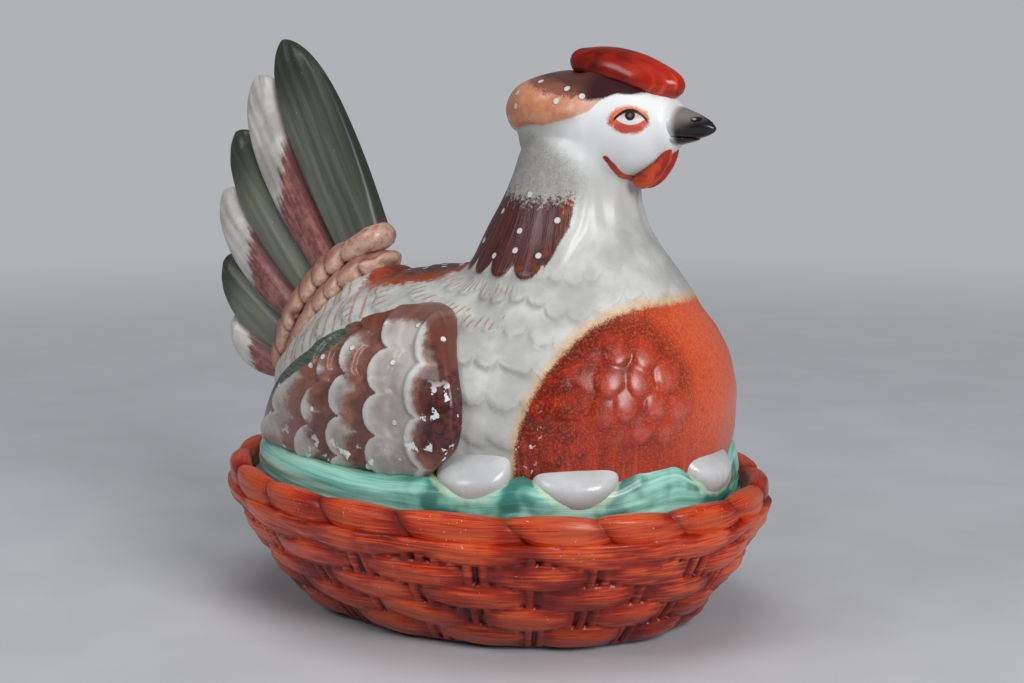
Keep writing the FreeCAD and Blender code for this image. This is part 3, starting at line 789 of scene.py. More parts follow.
# %% Eye
def eye_paint(glaze, base):
    """A red-orange ring, a white eye with a dark lid and iris, on each side of the head."""
    x, y, z = (glaze.axis(glaze.place, k) / MM for k in range(3))
    along = (x - 68.0) * 0.866 - (abs(y) - 14.9) * 0.5
    up = z - 186.2
    near = (abs(y) - 7.0).fade(0, 1) * (x - 56.0).fade(0, 1)
    uneven = glaze.grain(2.5) - 0.5 + (glaze.grain(0.7) - 0.5) * 0.8
    ring = (along / 7.6).power(2) + (up / 5.0).power(2) + uneven * 0.55
    ring_mask = (1.0 - ring).fade(-0.15, 0.35) * near
    tint = (up * 0.12 + uneven).fade(-0.3, 0.4).paint(colour(184, 48, 12), colour(216, 112, 62))
    painted = (ring_mask * 0.95).paint(base, tint)
    top = 3.3 - ((along - 0.5) / 5.9).power(2) * 3.5
    low = -1.9 + ((along - 0.6) / 6.2).power(2) * 3.0
    opening = (top - up).fade(0.0, 0.5) * (up - low).fade(0.0, 0.5) * near
    painted = opening.paint(painted, up.fade(0.2, 2.2).paint(colour(214, 212, 210), colour(196, 150, 138)))
    blush = opening * (up - 0.2).fade(0.0, 1.2) * (along - 1.5).fade(0.0, 1.4)
    painted = (blush * 0.8).paint(painted, colour(214, 160, 148))
    iris_way = ((along - 0.4).power(2) + (up - 1.6).power(2)).power(0.5)
    painted = (iris_way.fade(1.95, 1.6) * opening).paint(painted, ink)
    painted = (iris_way.fade(1.0, 0.5) * opening).paint(painted, colour(84, 88, 88))
    lid = abs(up - top).fade(0.75, 0.4) * (abs(along - 0.6)).fade(6.4, 5.4) * near
    return lid.paint(painted, ink)


print("The eye's paint is ready")

# %% What the coats share
class HenGlaze(Glaze):
    """The hen's glaze while it is painted, with the textures and notes that its coats share."""

    def __init__(self):
        super().__init__("hen_painted_glaze")
        self.outer = self.note("outside").fade(0.3, 0.7)
        self.fine, self.blot, self.broad = self.grain(0.55), self.grain(2.4, 3.0), self.grain(14.0, 3.0)
        self.x, self.y, self.z = (self.axis(self.place, k) / MM for k in range(3))
        self.turned = self.note("turn")  # degrees round from straight ahead, to either side
        self.since, self.breast = self.note("since"), self.note("breast")
        self.barbs = self.brush(0.9, 12.0).fade(0.3, 0.7)


print("The coats share one ground")

# %% Ground and sponging
def white_ground(hen):
    """White glaze with painted shade in the grooves under the rims, painted light on the face, and grey
    sponged on the neck.
    """
    base = (hen.broad * 0.9).fade(0.3, 0.62).paint(shaded_porcelain, porcelain)
    base = hen.z.fade(146.0, 160.0).paint(base, colour(190, 190, 187))
    rim = hen.note("rim")
    below_neck = hen.z.fade(146.0, 122.0)
    # Painted shade: darker grey just below each feather's rim, in the groove over the next feather's root.
    groove = hen.since.fade(4.5, 0.0) * rim.fade(0.5, -0.7)
    groove_shade = groove * (hen.blot.fade(0.3, 0.6) * 0.24 + 0.2) * hen.outer * below_neck
    base = groove_shade.paint(base, colour(132, 132, 126))
    # Painted light: the face is painted a brighter white than the porcelain, standing in for light falling on
    # it.
    face = hen.z.fade(164.0, 174.0) * hen.x.fade(36.0, 50.0)
    base = (face * hen.outer * 0.9).paint(base, colour(226, 228, 228))
    base = (hen.fine.fade(0.69, 0.76) * 0.3 * (1 - face * 0.7)).paint(base, colour(120, 112, 104))
    sponge = hen.note("sponge")
    reach = sponge.fade(-5.0, 9.0) * hen.z.fade(132.0, 150.0) * hen.z.fade(188.0, 178.0)
    sponged = (reach * 0.8 + (hen.blot - 0.5) * 0.9 + (hen.fine - 0.5) * 1.2).fade(0.0, 1.2) * reach
    return (sponged * 0.7 * hen.outer).paint(base, colour(124, 119, 110))


print("Ground and sponging: a coat is ready")

# %% Ticks
def tick_paint(hen, base):
    """Brown ticks at the feathers' rims, and rows of them over the saddle."""
    strokes = (hen.axis(hen.note("flow", True), 0) * 2.6).wave().fade(0.25, 0.8)
    tick_reach = hen.turned.fade(84.0, 93.0) * hen.turned.fade(160.0, 150.0)
    tick_reach = tick_reach * hen.z.fade(108.0, 114.0) * hen.z.fade(131.0, 127.0)
    rim_band = hen.note("above").fade(6.0, 3.6) * hen.since.fade(3.0, 5.0)
    tick_marks = strokes * rim_band * tick_reach * hen.grain(7.0).fade(0.36, 0.46)
    base = (tick_marks * hen.outer * 0.75).paint(base, colour(160, 120, 100))
    saddle = hen.x.fade(-22.0, -30.0) * hen.z.fade(88.0, 94.0)
    saddle = saddle * hen.z.fade(125.0, 121.0) * hen.turned.fade(125.0, 132.0)
    saddle_line = ((hen.x * 0.75 + hen.z * 0.95) * 1.25 + (hen.blot - 0.5) * 3.0).wave().fade(0.45, 0.9)
    return (saddle * saddle_line * 0.7 * hen.blot.fade(0.38, 0.5)).paint(base, colour(158, 108, 84))


print("Ticks on back and shoulders are ready")

# %% Patch on the back
def back_paint(hen, base):
    """Maroon with a rusty edge between the neck and the tail."""
    patch = hen.note("back_patch") + (hen.blot - 0.5) * 5.0 + (hen.fine - 0.5) * 2.0
    patch_paint = patch.fade(6.0, 1.0).paint(hen.blot.fade(0.35, 0.65).paint(maroon, deep_maroon), rust)
    return (patch.fade(-1.5, 0.8) * hen.outer).paint(base, patch_paint)


print("Patch on the back: a coat is ready")

# %% [markdown]
# ## The breast
# The orange was dabbed on with a sponge and fired till its edge bled yellow. Mottles of three sizes make the
# dabs. The side towards the light is painted lighter, and the clump's own note puts painted shade between the
# lobes and a painted highlight on their tops.

# %% Breast
def breast_paint(hen, base):
    """Mottled orange with a yellow halo, painted lighter on the side towards the light, redder on the clump
    of lobes, with painted shade between the lobes and painted highlights on their tops.
    """
    stipple = (hen.fine - 0.5) * 5.0 + (hen.blot - 0.5) * 4.0
    halo = (hen.breast + stipple * 1.3).fade(-4.6, -0.2) * hen.outer
    base = (halo * 0.7).paint(base, halo_yellow)
    lit = (hen.y + hen.x * 0.35 + (hen.broad - 0.5) * 14.0).fade(-14.0, 44.0) * hen.z.fade(56.0, 88.0)
    mottled = hen.grain(1.2, 3.0) * 0.35 + hen.grain(5.0, 3.0) * 0.8 - hen.breast * 0.010 - lit * 0.2
    orange = mottled.fade(0.26, 0.64).paint(breast_orange, breast_red)
    orange = (lit * 0.9).paint(orange, colour(218, 90, 60))
    orange = (hen.grain(1.5, 3.0).fade(0.5, 0.64) * 0.4).paint(orange, colour(140, 30, 12))
    lobed = hen.note("clump")
    # Painted shade: dark red in the hollows between the lobes.
    hollow = hen.note("clump_lobe").fade(0.45, 0.1) * lobed
    orange = (lobed * 0.3).paint(orange, colour(156, 46, 38))
    orange = (hollow * 0.7).paint(orange, colour(92, 16, 9))
    # Painted highlight: pink on the tops of the lobes.
    lobe_highlight = hen.note("clump_lobe").fade(0.45, 0.85) * lobed * hen.blot.fade(0.3, 0.55)
    orange = (lobe_highlight * 0.6).paint(orange, colour(206, 118, 108))
    stippled = hen.grain(0.75, 1.0).fade(0.46, 0.7) * (0.2 + lit * 0.4)
    orange = stippled.paint(orange, colour(218, 128, 64))
    streak = hen.brush(1.2, 22.0).fade(0.5, 0.66) * hen.z.fade(82.0, 68.0)
    orange = (streak * 0.4).paint(orange, colour(204, 84, 40))
    hen.orange_mask = (hen.breast + stipple * 0.7).fade(-1.2, 1.0) * hen.outer
    return hen.orange_mask.paint(base, orange)


print("Breast: a coat is ready")

# %% [markdown]
# ## Hackle and crest
# The neck's feathers were painted with long strokes of a stiff brush, so their noise is stretched along the
# flow. The crest is a thin peach wash, with a browner crown that the brush left ragged.

# %% Hackle
def hackle_paint(hen, base):
    """Maroon drawn down each neck feather, rusty at the front edge, ragged at the top."""
    hackle = hen.note("hackle") + (hen.fine - 0.5) * 1.2
    top = hen.note("hackle_top") + (hen.blot - 0.5) * 9.0 + (hen.grain(1.1) - 0.5) * 16.0
    brown = (hen.barbs * 0.6 + hen.blot * 0.5).fade(0.2, 0.9).paint(deep_maroon, maroon)
    quill = abs(hen.note("share")).fade(0.2, 0.0)
    brown = (quill * 0.2).paint(brown, colour(138, 94, 82))
    rusty = hackle.fade(6.0, 0.5) * hen.grain(5.0, 3.0).fade(0.42, 0.62) * hen.turned.fade(112.0, 80.0)
    brown = (rusty * 0.85).paint(brown, rust)
    hen.hackle_mask = hackle.fade(-0.35, 0.45) * top.fade(-3.0, 2.0) * hen.outer * hen.z.fade(169.0, 162.0)
    return hen.hackle_mask.paint(base, brown)


print("Hackle: a coat is ready")

# %% Crest and crown
def crest_paint(hen, base):
    """Peach on the crest, brown on the crown before it."""
    crest = hen.note("crest") + (hen.fine - 0.5) * 0.9
    hen.crest_mask = crest.fade(-0.4, 0.5) * hen.outer * hen.x.fade(60.5, 56.0)
    crest_paint = (hen.blot * 0.6 + hen.broad * 0.4).fade(0.36, 0.62).paint(colour(196, 112, 70), peach)
    base = (hen.crest_mask * (0.9 - (hen.x.fade(44.0, 58.0)) * 0.25)).paint(base, crest_paint)
    crown = hen.note("crown") + (hen.blot - 0.5) * (hen.x.fade(56.0, 46.0) * 4.0 + 1.0)
    ragged = (hen.fine - 0.5) * (hen.x.fade(56.0, 46.0) * 5.0 + 1.0)
    crown_reach = (crown + ragged).fade(-0.8, 0.8) * hen.outer
    crown_reach = crown_reach * hen.x.fade(77.0, 72.0) * crest.fade(-0.4, 0.6)
    crown_brown = (crown + (hen.broad - 0.5) * 6.0).fade(0.5, 5.0)
    crown_paint = crown_brown.paint(colour(132, 82, 68), colour(84, 50, 44))
    crown_paint = hen.x.fade(46.0, 54.0).paint(crown_paint, colour(52, 24, 24))
    return crown_reach.paint(base, crown_paint)


print("Crest and crown: a coat is ready")

# %% Face
def face_paint(hen, base):
    """The red stroke under the chin, and the eyes."""
    chin = hen.z.fade(173.0, 166.0) * 0.7 + 1.1 - hen.note("chin") + (hen.blot - 0.5) * 0.8
    chin = chin.fade(-0.15, 0.35) * hen.outer
    base = chin.paint(base, hen.z.fade(172.0, 168.0).paint(colour(140, 20, 10), colour(186, 50, 18)))
    return eye_paint(hen, base)


print("Face: a coat is ready")

# %% Enamel dots, chips and the whole glaze
def hen_glaze():
    """All coats in the painter's order, then the dots and the chips, which go through every coat."""
    hen = HenGlaze()
    base = white_ground(hen)
    for coat in (tick_paint, back_paint, breast_paint, hackle_paint, crest_paint, face_paint):
        base = coat(hen, base)
    dot = hen.length(hen.note("dot_way", True)).fade(1.35, 1.0)
    dot = dot * hen.note("dot_gap").fade(2.8, 2.0) * hen.outer
    base = dot.paint(base, colour(206, 200, 196))
    chipped = (hen.breast.fade(11.0, 4.0) * hen.z.fade(94.0, 82.0)).most(hen.z.fade(63.0, 60.0))
    chips = hen.grain(2.6, 4.0).fade(0.63, 0.65) * chipped * hen.orange_mask
    base = chips.paint(base, bright_porcelain)
    colour_share = (hen.orange_mask + hen.hackle_mask + hen.crest_mask).least(1.0)
    rough = 0.34 + hen.blot * 0.1 + (1 - hen.outer) * 0.25 - colour_share * 0.08
    height = hen.broad * 0.5 + hen.fine * 0.12 + dot * 1.6 - chips * 0.8 + hen.barbs * hen.hackle_mask * 0.25
    return hen.finish(base, rough, height, 0.35, coat_rough=0.24)


paint_with(hen_glaze(), hen_skin)

# %% [markdown]
# ## The basket
# The real basket was pressed in a mould carved with wicker. Here its wall is one closed profile swept round
# the oval: up the outside, over the lip, down the smooth inside and across the floor. On the outside each
# strand is a long lens that is fat between two stakes and thin where it dives behind one.

# %% Profile of the wall
bowl_low, bowl_high = box_of("basket_bowl")
foot_high = box_of("foot_ring")[1]
foot_inset = 4.0
wall_thickness, floor_thickness = 5.0, 5.0
flare_bow = 0.46
foot_half = (foot_high[0] + foot_inset, foot_high[1] + foot_inset)
lip_half = (bowl_high[0], bowl_high[1])
wall_low, wall_high = bowl_low[2], bowl_high[2]


def wall_half_sizes(height):
    """Half length and half width of the wall's outside at a height."""
    share = np.clip((height - wall_low) / (wall_high - wall_low), 0, 1)
    spread = share * (1 + flare_bow * (1 - share))
    return [foot + (lip - foot) * spread for foot, lip in zip(foot_half, lip_half)]


def wall_profile():
    """Half length, half width, height, and 1 under wicker or else 0, from the foot to the inner floor."""
    rows = [(foot_half[0] * share, foot_half[1] * share, wall_low, 0.0) for share in (0.02, 0.4, 0.8, 0.97)]
    for height in np.arange(wall_low, wall_high + 0.01, 0.6 * fineness):
        rows.append((*wall_half_sizes(height), height, 1.0))
    inside = wall_low + floor_thickness
    for height in np.linspace(wall_high, inside + 2.0, 16):
        half_length, half_width = wall_half_sizes(height)
        rows.append((half_length - wall_thickness, half_width - wall_thickness, height, 0.0))
    half_length, half_width = wall_half_sizes(inside)
    half_length, half_width = half_length - wall_thickness, half_width - wall_thickness
    for share, above_floor in ((0.96, 0.8), (0.93, 0.2), (0.88, 0.0), (0.5, 0.0), (0.02, 0.0)):
        rows.append((half_length * share, half_width * share, inside + above_floor, 0.0))
    return np.array(rows)


profile = wall_profile()
print("Profile rows:", len(profile), "lip half sizes", np.round(lip_half, 1))

# %% Wicker relief
weave_rows, weave_strands = 5, 14
weave_depth = 4.2
rim_loops_round = 19
stakes_in_a_room, stake_half = 8, 0.38  # upright bars for each strand's room, and their half width
border_below, border_half = 3.2, 4.2  # the wavy strand under the rim: its middle below it, its half width


def wicker(angle, height, seed=4):
    """Height of the wicker over the wall in millimetres, and a tone for each strand."""
    random = np.random.default_rng(seed)
    row_height = (wall_high - wall_low) / weave_rows
    room = 2 * np.pi / weave_strands
    relief = np.zeros_like(angle)
    tone = np.zeros_like(angle)
    for row in range(-1, weave_rows + 1):
        for strand in range(weave_strands):
            shift, lift = random.uniform(-0.05, 0.05), random.uniform(-0.7, 0.7)
            tilt = random.uniform(-0.9, 1.3)
            plump = random.uniform(0.82, 1.08)
            middle = room * (strand + 0.5 * (row % 2) + 0.45 + shift)
            along = (angle - middle + np.pi) % (2 * np.pi) - np.pi
            share = along / (room * random.uniform(0.43, 0.48))
            swell = np.clip(1 - np.abs(share) ** 2.3, 0, 1) ** 0.8
            centre = wall_low + row_height * (row + 0.5) + lift - tilt * np.sin(share * 2.0)
            half = row_height * (0.32 + 0.32 * swell)
            across = (height - centre) / half
            round_back = np.sqrt(np.clip(1 - across**2, 0, None))
            fibre = 0.07 * np.cos(across * 8.0 + 2.0 * share + strand) * swell
            bulge = weave_depth * plump * ((0.12 + 0.88 * swell) * round_back + fibre)
            bulge = np.where((np.abs(share) < 1) & (np.abs(across) < 1), bulge, 0.0)
            tone = np.where(bulge > relief, random.uniform(-1, 1), tone)
            relief = np.maximum(relief, bulge)
    bars = (angle / room * stakes_in_a_room + 0.1 + 0.1 * wobble(angle * 90, 11.0, 12)) % 1.0 - 0.5
    stake = 0.5 * weave_depth * np.clip(1 - (bars / stake_half) ** 2, 0, 1) ** 0.6
    wave = wall_high - border_below + 1.7 * np.sin(angle * rim_loops_round + 0.8)
    wave += 0.5 * wobble(angle * 90, 25.0, 6)
    border = 0.8 * weave_depth * np.sqrt(np.clip(1 - ((height - wave) / border_half) ** 2, 0, 1))
    return np.maximum(np.maximum(relief, stake), border), tone


print("Strands round the basket:", weave_strands, "in each of", weave_rows, "rows")

# %% Sweep the basket
round_steps = round(1260 / fineness)
angles = np.linspace(0, 2 * np.pi, round_steps, endpoint=False)
angle_grid, height_grid = np.meshgrid(angles, profile[:, 2])
weave, strand_tone = wicker(angle_grid, height_grid)
weave = weave * profile[:, 3][:, None]
weave *= rise(height_grid, wall_low - 0.2, wall_low + 1.2)
half_lengths = profile[:, 0][:, None] + weave
half_widths = profile[:, 1][:, None] + weave
bowl_x, bowl_y = half_lengths * np.cos(angle_grid), half_widths * np.sin(angle_grid)
bowl_points = np.stack([bowl_x, bowl_y, height_grid], axis=-1)
bowl_faces = grid_faces(len(profile), round_steps)
bowl_nodes = ["basket_bowl"] + [f"weave_row_{number}" for number in range(1, weave_rows + 1)]
basket = piece_from("basket", bowl_points, bowl_faces, "dish", "basket_red_glaze", *bowl_nodes)
print("Wicker stands out", round(float(weave.max()), 2), "mm")

# %% Close the two small holes at the middle of the profile and keep notes
close_ends(basket, len(profile), round_steps)
mean_radius = 95.0
basket_flow = np.stack([height_grid, angle_grid * mean_radius, height_grid * 0], axis=-1)
wickered = np.repeat(profile[:, 3], round_steps)
keep_notes(basket, flow=basket_flow, proud=weave / weave_depth, strand=strand_tone, outer=wickered)
basket.data.shade_smooth()
print("Basket closed")

# %% [markdown]
# ## The plaited rim
# The border is a rope of fat loops laid slantwise over the rolled edge. Each loop starts low on the outside,
# climbs over the crest and tucks in on the inside, with the next one lapping it. A tube round the oval swells
# and narrows once for each loop, and the swelling's place shifts round the tube, which gives the slant.

# %% Rim
rim_low, rim_high = box_of("rim_roll")
rim_thickness = 7.2
rim_sunk = 0.3  # lets the tube sit into the wall's lip
rim_rise = rim_high[2] - rim_low[2]
tube_steps = round(56 / fineness)


def rim_form():
    """Points of the rim, the height of its loops, and its flow."""
    around = np.linspace(0, 2 * np.pi, round_steps, endpoint=False)
    section = np.linspace(0, 2 * np.pi, tube_steps, endpoint=False)
    tube, angle = np.meshgrid(section, around, indexing="ij")
    slant = 0.14 * np.sin(tube) + 0.05 * np.cos(tube)
    phase = (angle / (2 * np.pi) * rim_loops_round + slant + wobble(angle * 20, 9.0, 3) * 0.1) % 1.0
    loop = np.clip(1 - (2 * phase**0.8 - 1) ** 2, 0, 1) ** 0.72
    outer = 0.5 + 0.5 * np.cos(tube)
    top = np.clip(np.sin(tube), 0, 1)
    swell = (1.7 * outer + 1.1 * top) * (loop - 0.45) * (1 + 0.3 * wobble(angle * 20, 7.0, 15))
    swell += 0.10 * np.cos(tube * 9 + angle * rim_loops_round) * loop
    radius = rim_thickness / 2 + swell
    out = np.sign(np.cos(tube)) * np.abs(np.cos(tube)) ** 0.8 * radius
    up = np.sign(np.sin(tube)) * np.abs(np.sin(tube)) ** 0.8 * (rim_rise / 2 + swell * 0.75)
    lap = 3.4 * np.clip(-np.sin(tube), 0, 1) * np.clip(np.cos(tube) + 0.35, 0, 1) * (0.5 + 0.5 * loop)
    up -= lap
    middle_length = rim_high[0] - rim_thickness / 2
    middle_width = rim_high[1] - rim_thickness / 2
    x = (middle_length + out) * np.cos(angle)
    y = (middle_width + out) * np.sin(angle)
    z = rim_low[2] + rim_rise / 2 + up - rim_sunk
    return np.stack([x, y, z], axis=-1), loop, np.stack([tube * 8, angle * mean_radius, tube * 0], axis=-1)


rim_points, rim_loop, rim_flow = rim_form()
rim_faces = grid_faces(tube_steps, round_steps, wrap_rows=True)
rim = piece_from("plaited_rim", rim_points, rim_faces[:, ::-1], "dish", "basket_red_glaze",
                 "rim_roll", "rim_loops")
keep_notes(rim, flow=rim_flow, proud=0.35 + 0.65 * rim_loop)
keep_notes(rim, strand=np.zeros(rim_loop.size), outer=np.ones(rim_loop.size))
print("Rim top at", round(float(rim_points[..., 2].max()), 1), "mm")

# %% [markdown]
# ## The basket's glaze
# An iron-red wash was brushed along the strands. It pooled dark in the gaps, which also get painted shade,
# thinned to orange on the ridges, which also get a painted highlight, and rubbed off to white in pinpricks on
# the highest strands. The proud note drives all three. The wall is also painted darker towards the foot, as
# painted shade.

# %% Basket glaze
def basket_glaze():
    """Iron-red wash over wicker, with pools and painted shade in the gaps, painted highlights on the ridges,
    brush streaks, rubbed ridges, and painted shade towards the foot.
    """
    glaze = Glaze("basket_red_glaze")
    proud = glaze.note("proud")
    streak = glaze.brush(0.7, 15.0, 3.0)
    broad = glaze.grain(22.0, 3.0)
    tone = (streak - 0.5) * 0.7 + (broad - 0.5) * 1.0 + proud * 0.5 + glaze.note("strand") * 0.08
    base = tone.fade(-0.05, 0.6).paint(colour(96, 8, 2), colour(192, 46, 8))
    # Thinned wash and painted highlight: orange on the ridges of the strands.
    ridge = (streak * 0.9 + proud * 0.3 + (broad - 0.5) * 0.8).fade(0.58, 0.84)
    base = (ridge * 0.7).paint(base, colour(214, 98, 50))
    # Pooled wash and painted shade: dark red in the gaps between the strands.
    pooled = (proud + (streak - 0.5) * 0.3).fade(0.34, 0.06)
    base = (pooled * 0.85).paint(base, colour(56, 6, 4))
    z = glaze.axis(glaze.place, 2) / MM
    # Painted shade: the wall darkens towards the foot, under its bulge.
    base = (z.fade(30.0, 4.0) * 0.45).paint(base, colour(84, 6, 2))
    base = (z.fade(44.0, 52.0) * broad.fade(0.4, 0.6) * 0.35).paint(base, colour(118, 40, 24))
    fine = glaze.grain(0.9, 2.0)
    rubbed = fine.fade(0.70, 0.72) * proud.fade(0.6, 0.85) * glaze.grain(16.0).fade(0.46, 0.56)
    scuffs = glaze.brush(0.35, 5.0).fade(0.745, 0.76) * proud.fade(0.8, 0.95)
    scuffs = scuffs * glaze.grain(11.0).fade(0.5, 0.6)
    bare = (rubbed + scuffs).least(1.0)
    base = bare.paint(base, colour(222, 200, 190))
    base = (1 - glaze.note("outer")).fade(0.4, 0.9).paint(base, porcelain)
    rough = 0.26 + streak * 0.16 + bare * 0.25
    return glaze.finish(base, rough, streak * 0.8 + fine * 0.15 - bare * 0.5, 0.2, 0.22, 0.2)


paint_with(basket_glaze(), basket, rim)

# %% [markdown]
# ## The grass bed
# The bed is a collar of clay combed into waves, which lap up between the eggs and dip under them. Its section
# is swept round the oval as a closed loop, and its top row is lifted or lowered by how near an egg lies.

# %% Bed
bed_low, bed_high = box_of("nest_bed")
bed_end_width, bed_side_width = 15.5, 24.5
bed_round = 5.0  # radius of the outer edge
egg_names = ("egg_front", "egg_right_1", "egg_right_2", "egg_left_1", "egg_left_2")
egg_middles = [sum(box_of(name)) / 2 for name in egg_names]


def bed_form():
    """Points of the bed with its waves, its flow, and its counts of columns and rows."""
    columns = round(720 / fineness)
    around = np.linspace(0, 2 * np.pi, columns, endpoint=False)
    half_length, half_width = bed_high[0], bed_high[1]
    top, low = bed_high[2], bed_low[2]
    section = []  # share of the way in from the outer edge, height, share of the waves it takes
    for height in np.linspace(low, top - bed_round, 10):
        section.append((0.0, height, 0.25 * (height - low) / (top - low)))
    for share in np.linspace(0.1, 1.0, 8):
        turned = share * np.pi / 2
        height = top - bed_round + bed_round * math.sin(turned)
        section.append((0.27 * (1 - math.cos(turned)), height, 0.3 + 0.7 * share))
    for share in np.linspace(0.32, 1.0, 10):
        section.append((share, top, 1.0))
    for height in np.linspace(top - 2.0, low, 5):
        section.append((1.0, height, 0.0))
    for share in (0.75, 0.5, 0.25):
        section.append((share, low, 0.0))
    section = np.array(section)
    inward, angle = np.meshgrid(section[:, 0], around, indexing="ij")
    height = np.repeat(section[:, 1], columns).reshape(inward.shape)
    takes = np.repeat(section[:, 2], columns).reshape(inward.shape)
    x = (half_length - bed_end_width * inward) * np.cos(angle)
    y = (half_width - bed_side_width * inward) * np.sin(angle)
    near_egg = np.zeros_like(x)
    for middle in egg_middles:
        way = np.hypot(x - middle[0], y - middle[1])
        near_egg = 1 - (1 - near_egg) * (1 - rise(-way, -23.0, -12.0))
    waves = 0.9 * wobble(angle * 90, 26.0, 11) + 0.6
    front = rise(np.cos(angle), 0.0, 0.45)
    mound = 2.0 * bump_at(np.degrees(angle), 20.0, 24.0) + 2.0 * bump_at(360 - np.degrees(angle), 20.0, 24.0)
    lift = (front * (5.4 + mound) * (1 - near_egg) + (1.2 + 1.2 * front) * near_egg) * takes
    lift += waves * (1 - near_egg) * takes
    comb_marks = 0.12 * np.sin(angle * 46 + inward * 3.0 + 3 * wobble(angle * 90, 14.0, 5)) * takes
    out = 1 + (0.35 * np.sin((height - low) * 1.7 + 2.5 * np.sin(angle * 5)) * (inward == 0)) / half_length
    points = np.stack([x * out, y * out, height + lift + comb_marks], axis=-1)
    sweep = angle * 90 + 10 * wobble(angle * 90, 26.0, 8)
    rows_down = height + inward * 20.0 + 3.5 * wobble(angle * 90, 30.0, 9)
    return points, np.stack([rows_down, sweep, 0 * sweep], axis=-1), columns, len(section)


bed_points, bed_flow, bed_columns, bed_rows = bed_form()
bed = piece_from("grass_bed", bed_points, grid_faces(bed_rows, bed_columns, True), "cover",
                 "bed_green_glaze", "nest_bed")


print("Bed's rings:", bed_rows, "of", bed_columns, "points")

# %% How far the bed lies from an egg
def gap_to(points, nodes):
    """Distance from each point to the nearest corner of some nodes' meshes."""
    corners = np.concatenate([points_of(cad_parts[node].data) for node in nodes])
    tree = kdtree.KDTree(len(corners))
    for index, corner in enumerate(corners):
        tree.insert(corner, index)
    tree.balance()
    return np.array([tree.find(point)[2] for point in points])


keep_notes(bed, flow=bed_flow, egg_gap=gap_to(bed_points.reshape(-1, 3), egg_names))
print("Bed rises to", round(float(bed_points[..., 2].max()), 1), "mm")


# %% Bed glaze
def bed_glaze():
    """Turquoise brushed on in long curved strokes, with painted shade in dark blots near the eggs, and thin
    and pale where it meets them.
    """
    glaze = Glaze("bed_green_glaze")
    stroke_tone = glaze.brush(1.0, 56.0, 3.0)
    broad = glaze.brush(5.5, 60.0, 2.0)
    stroked = (stroke_tone * 0.45 + broad * 0.75).fade(0.32, 0.84)
    base = stroked.paint(colour(66, 158, 140), colour(172, 220, 203))
    egg_gap = glaze.note("egg_gap") + (glaze.grain(3.0) - 0.5) * 1.6
    # Painted shade: darker green blots within about 17 mm of the eggs.
    dark = glaze.grain(15.0, 2.0).fade(0.42, 0.6) * broad.fade(0.66, 0.5) * egg_gap.fade(17.0, 6.0)
    base = (dark * 0.85).paint(base, colour(16, 96, 86))
    base = (egg_gap.fade(1.9, 0.5) * 0.6).paint(base, colour(198, 216, 182))
    rough = 0.22 + stroke_tone * 0.15
    return glaze.finish(base, rough, stroke_tone, 0.3)


paint_with(bed_glaze(), bed)

# %% [markdown]
# ## Wings
# Each wing is a shield of feathers laid on the flank. Its feathers stand in five columns from front to back,
# and each feather ends in a round rim towards the tail. Each column has its own line, its own lean and its
# own spacing, as the modeller's hand set them, and a point belongs to the first column that reaches it.

# %% Wing relief
# Columns from the front back: x of the rims at a middle height, lean, height of one joint, spacing, bulge
wing_middle = 80.0
wing_growth = 0.35  # how far the plain skin grows before its outer face takes the feathers instead
WING_COLUMNS = (
    (13.0, -0.05, 103.0, 18.0, 6.0),
    (-5.5, 0.0, 106.5, 15.0, 7.5),
    (-23.5, 0.13, 96.5, 15.0, 7.0),
    (-38.5, 0.42, 92.5, 16.0, 8.0),
    (-60.0, 1.0, 97.5, 20.0, 9.0),
)
# Enamel dots: x and height
WING_DOTS = (
    (-4.9, 113.6), (9.1, 114.8), (21.3, 110.9), (4.8, 102), (-15.5, 105.2), (-28.4, 100.6), (-34.3, 97.2),
    (-31.4, 82), (-31.1, 68.6), (8.4, 82.3), (24.5, 95.1), (-52, 88), (-60, 76),
)


def wing_feathers(x, z):
    """For places seen from the side: the signed distance from the rim, the share across, the distance
    behind the last rim passed, and the distances in front of the first, second and last columns' rims."""
    rims = []
    shares = []
    for rim_x, lean, joint, spacing, bulge in WING_COLUMNS:
        share = ((z - joint) / spacing % 1.0) * 2 - 1
        rims.append(rim_x + lean * (z - wing_middle) + bulge * (1 - np.sqrt(1 - share**2 * 0.98)))
        shares.append(share)
    above_rim = np.full(len(x), 20.0)
    below_last = np.full(len(x), 20.0)
    across_share = np.zeros(len(x))
    open_still = np.ones(len(x), dtype=bool)
    for rim, share in zip(rims, shares):
        found = open_still & (x > rim)
        above_rim[found] = (x - rim)[found]
        across_share[found] = share[found]
        open_still &= ~found
        below_last[open_still] = np.minimum(below_last, rim - x)[open_still]
    own = (above_rim < 4.0) | (above_rim < below_last)
    from_rim = np.where(own, above_rim, -below_last)
    return from_rim, across_share, below_last, x - rims[0], x - rims[1], x - rims[-1]


print("Wing columns:", len(WING_COLUMNS))

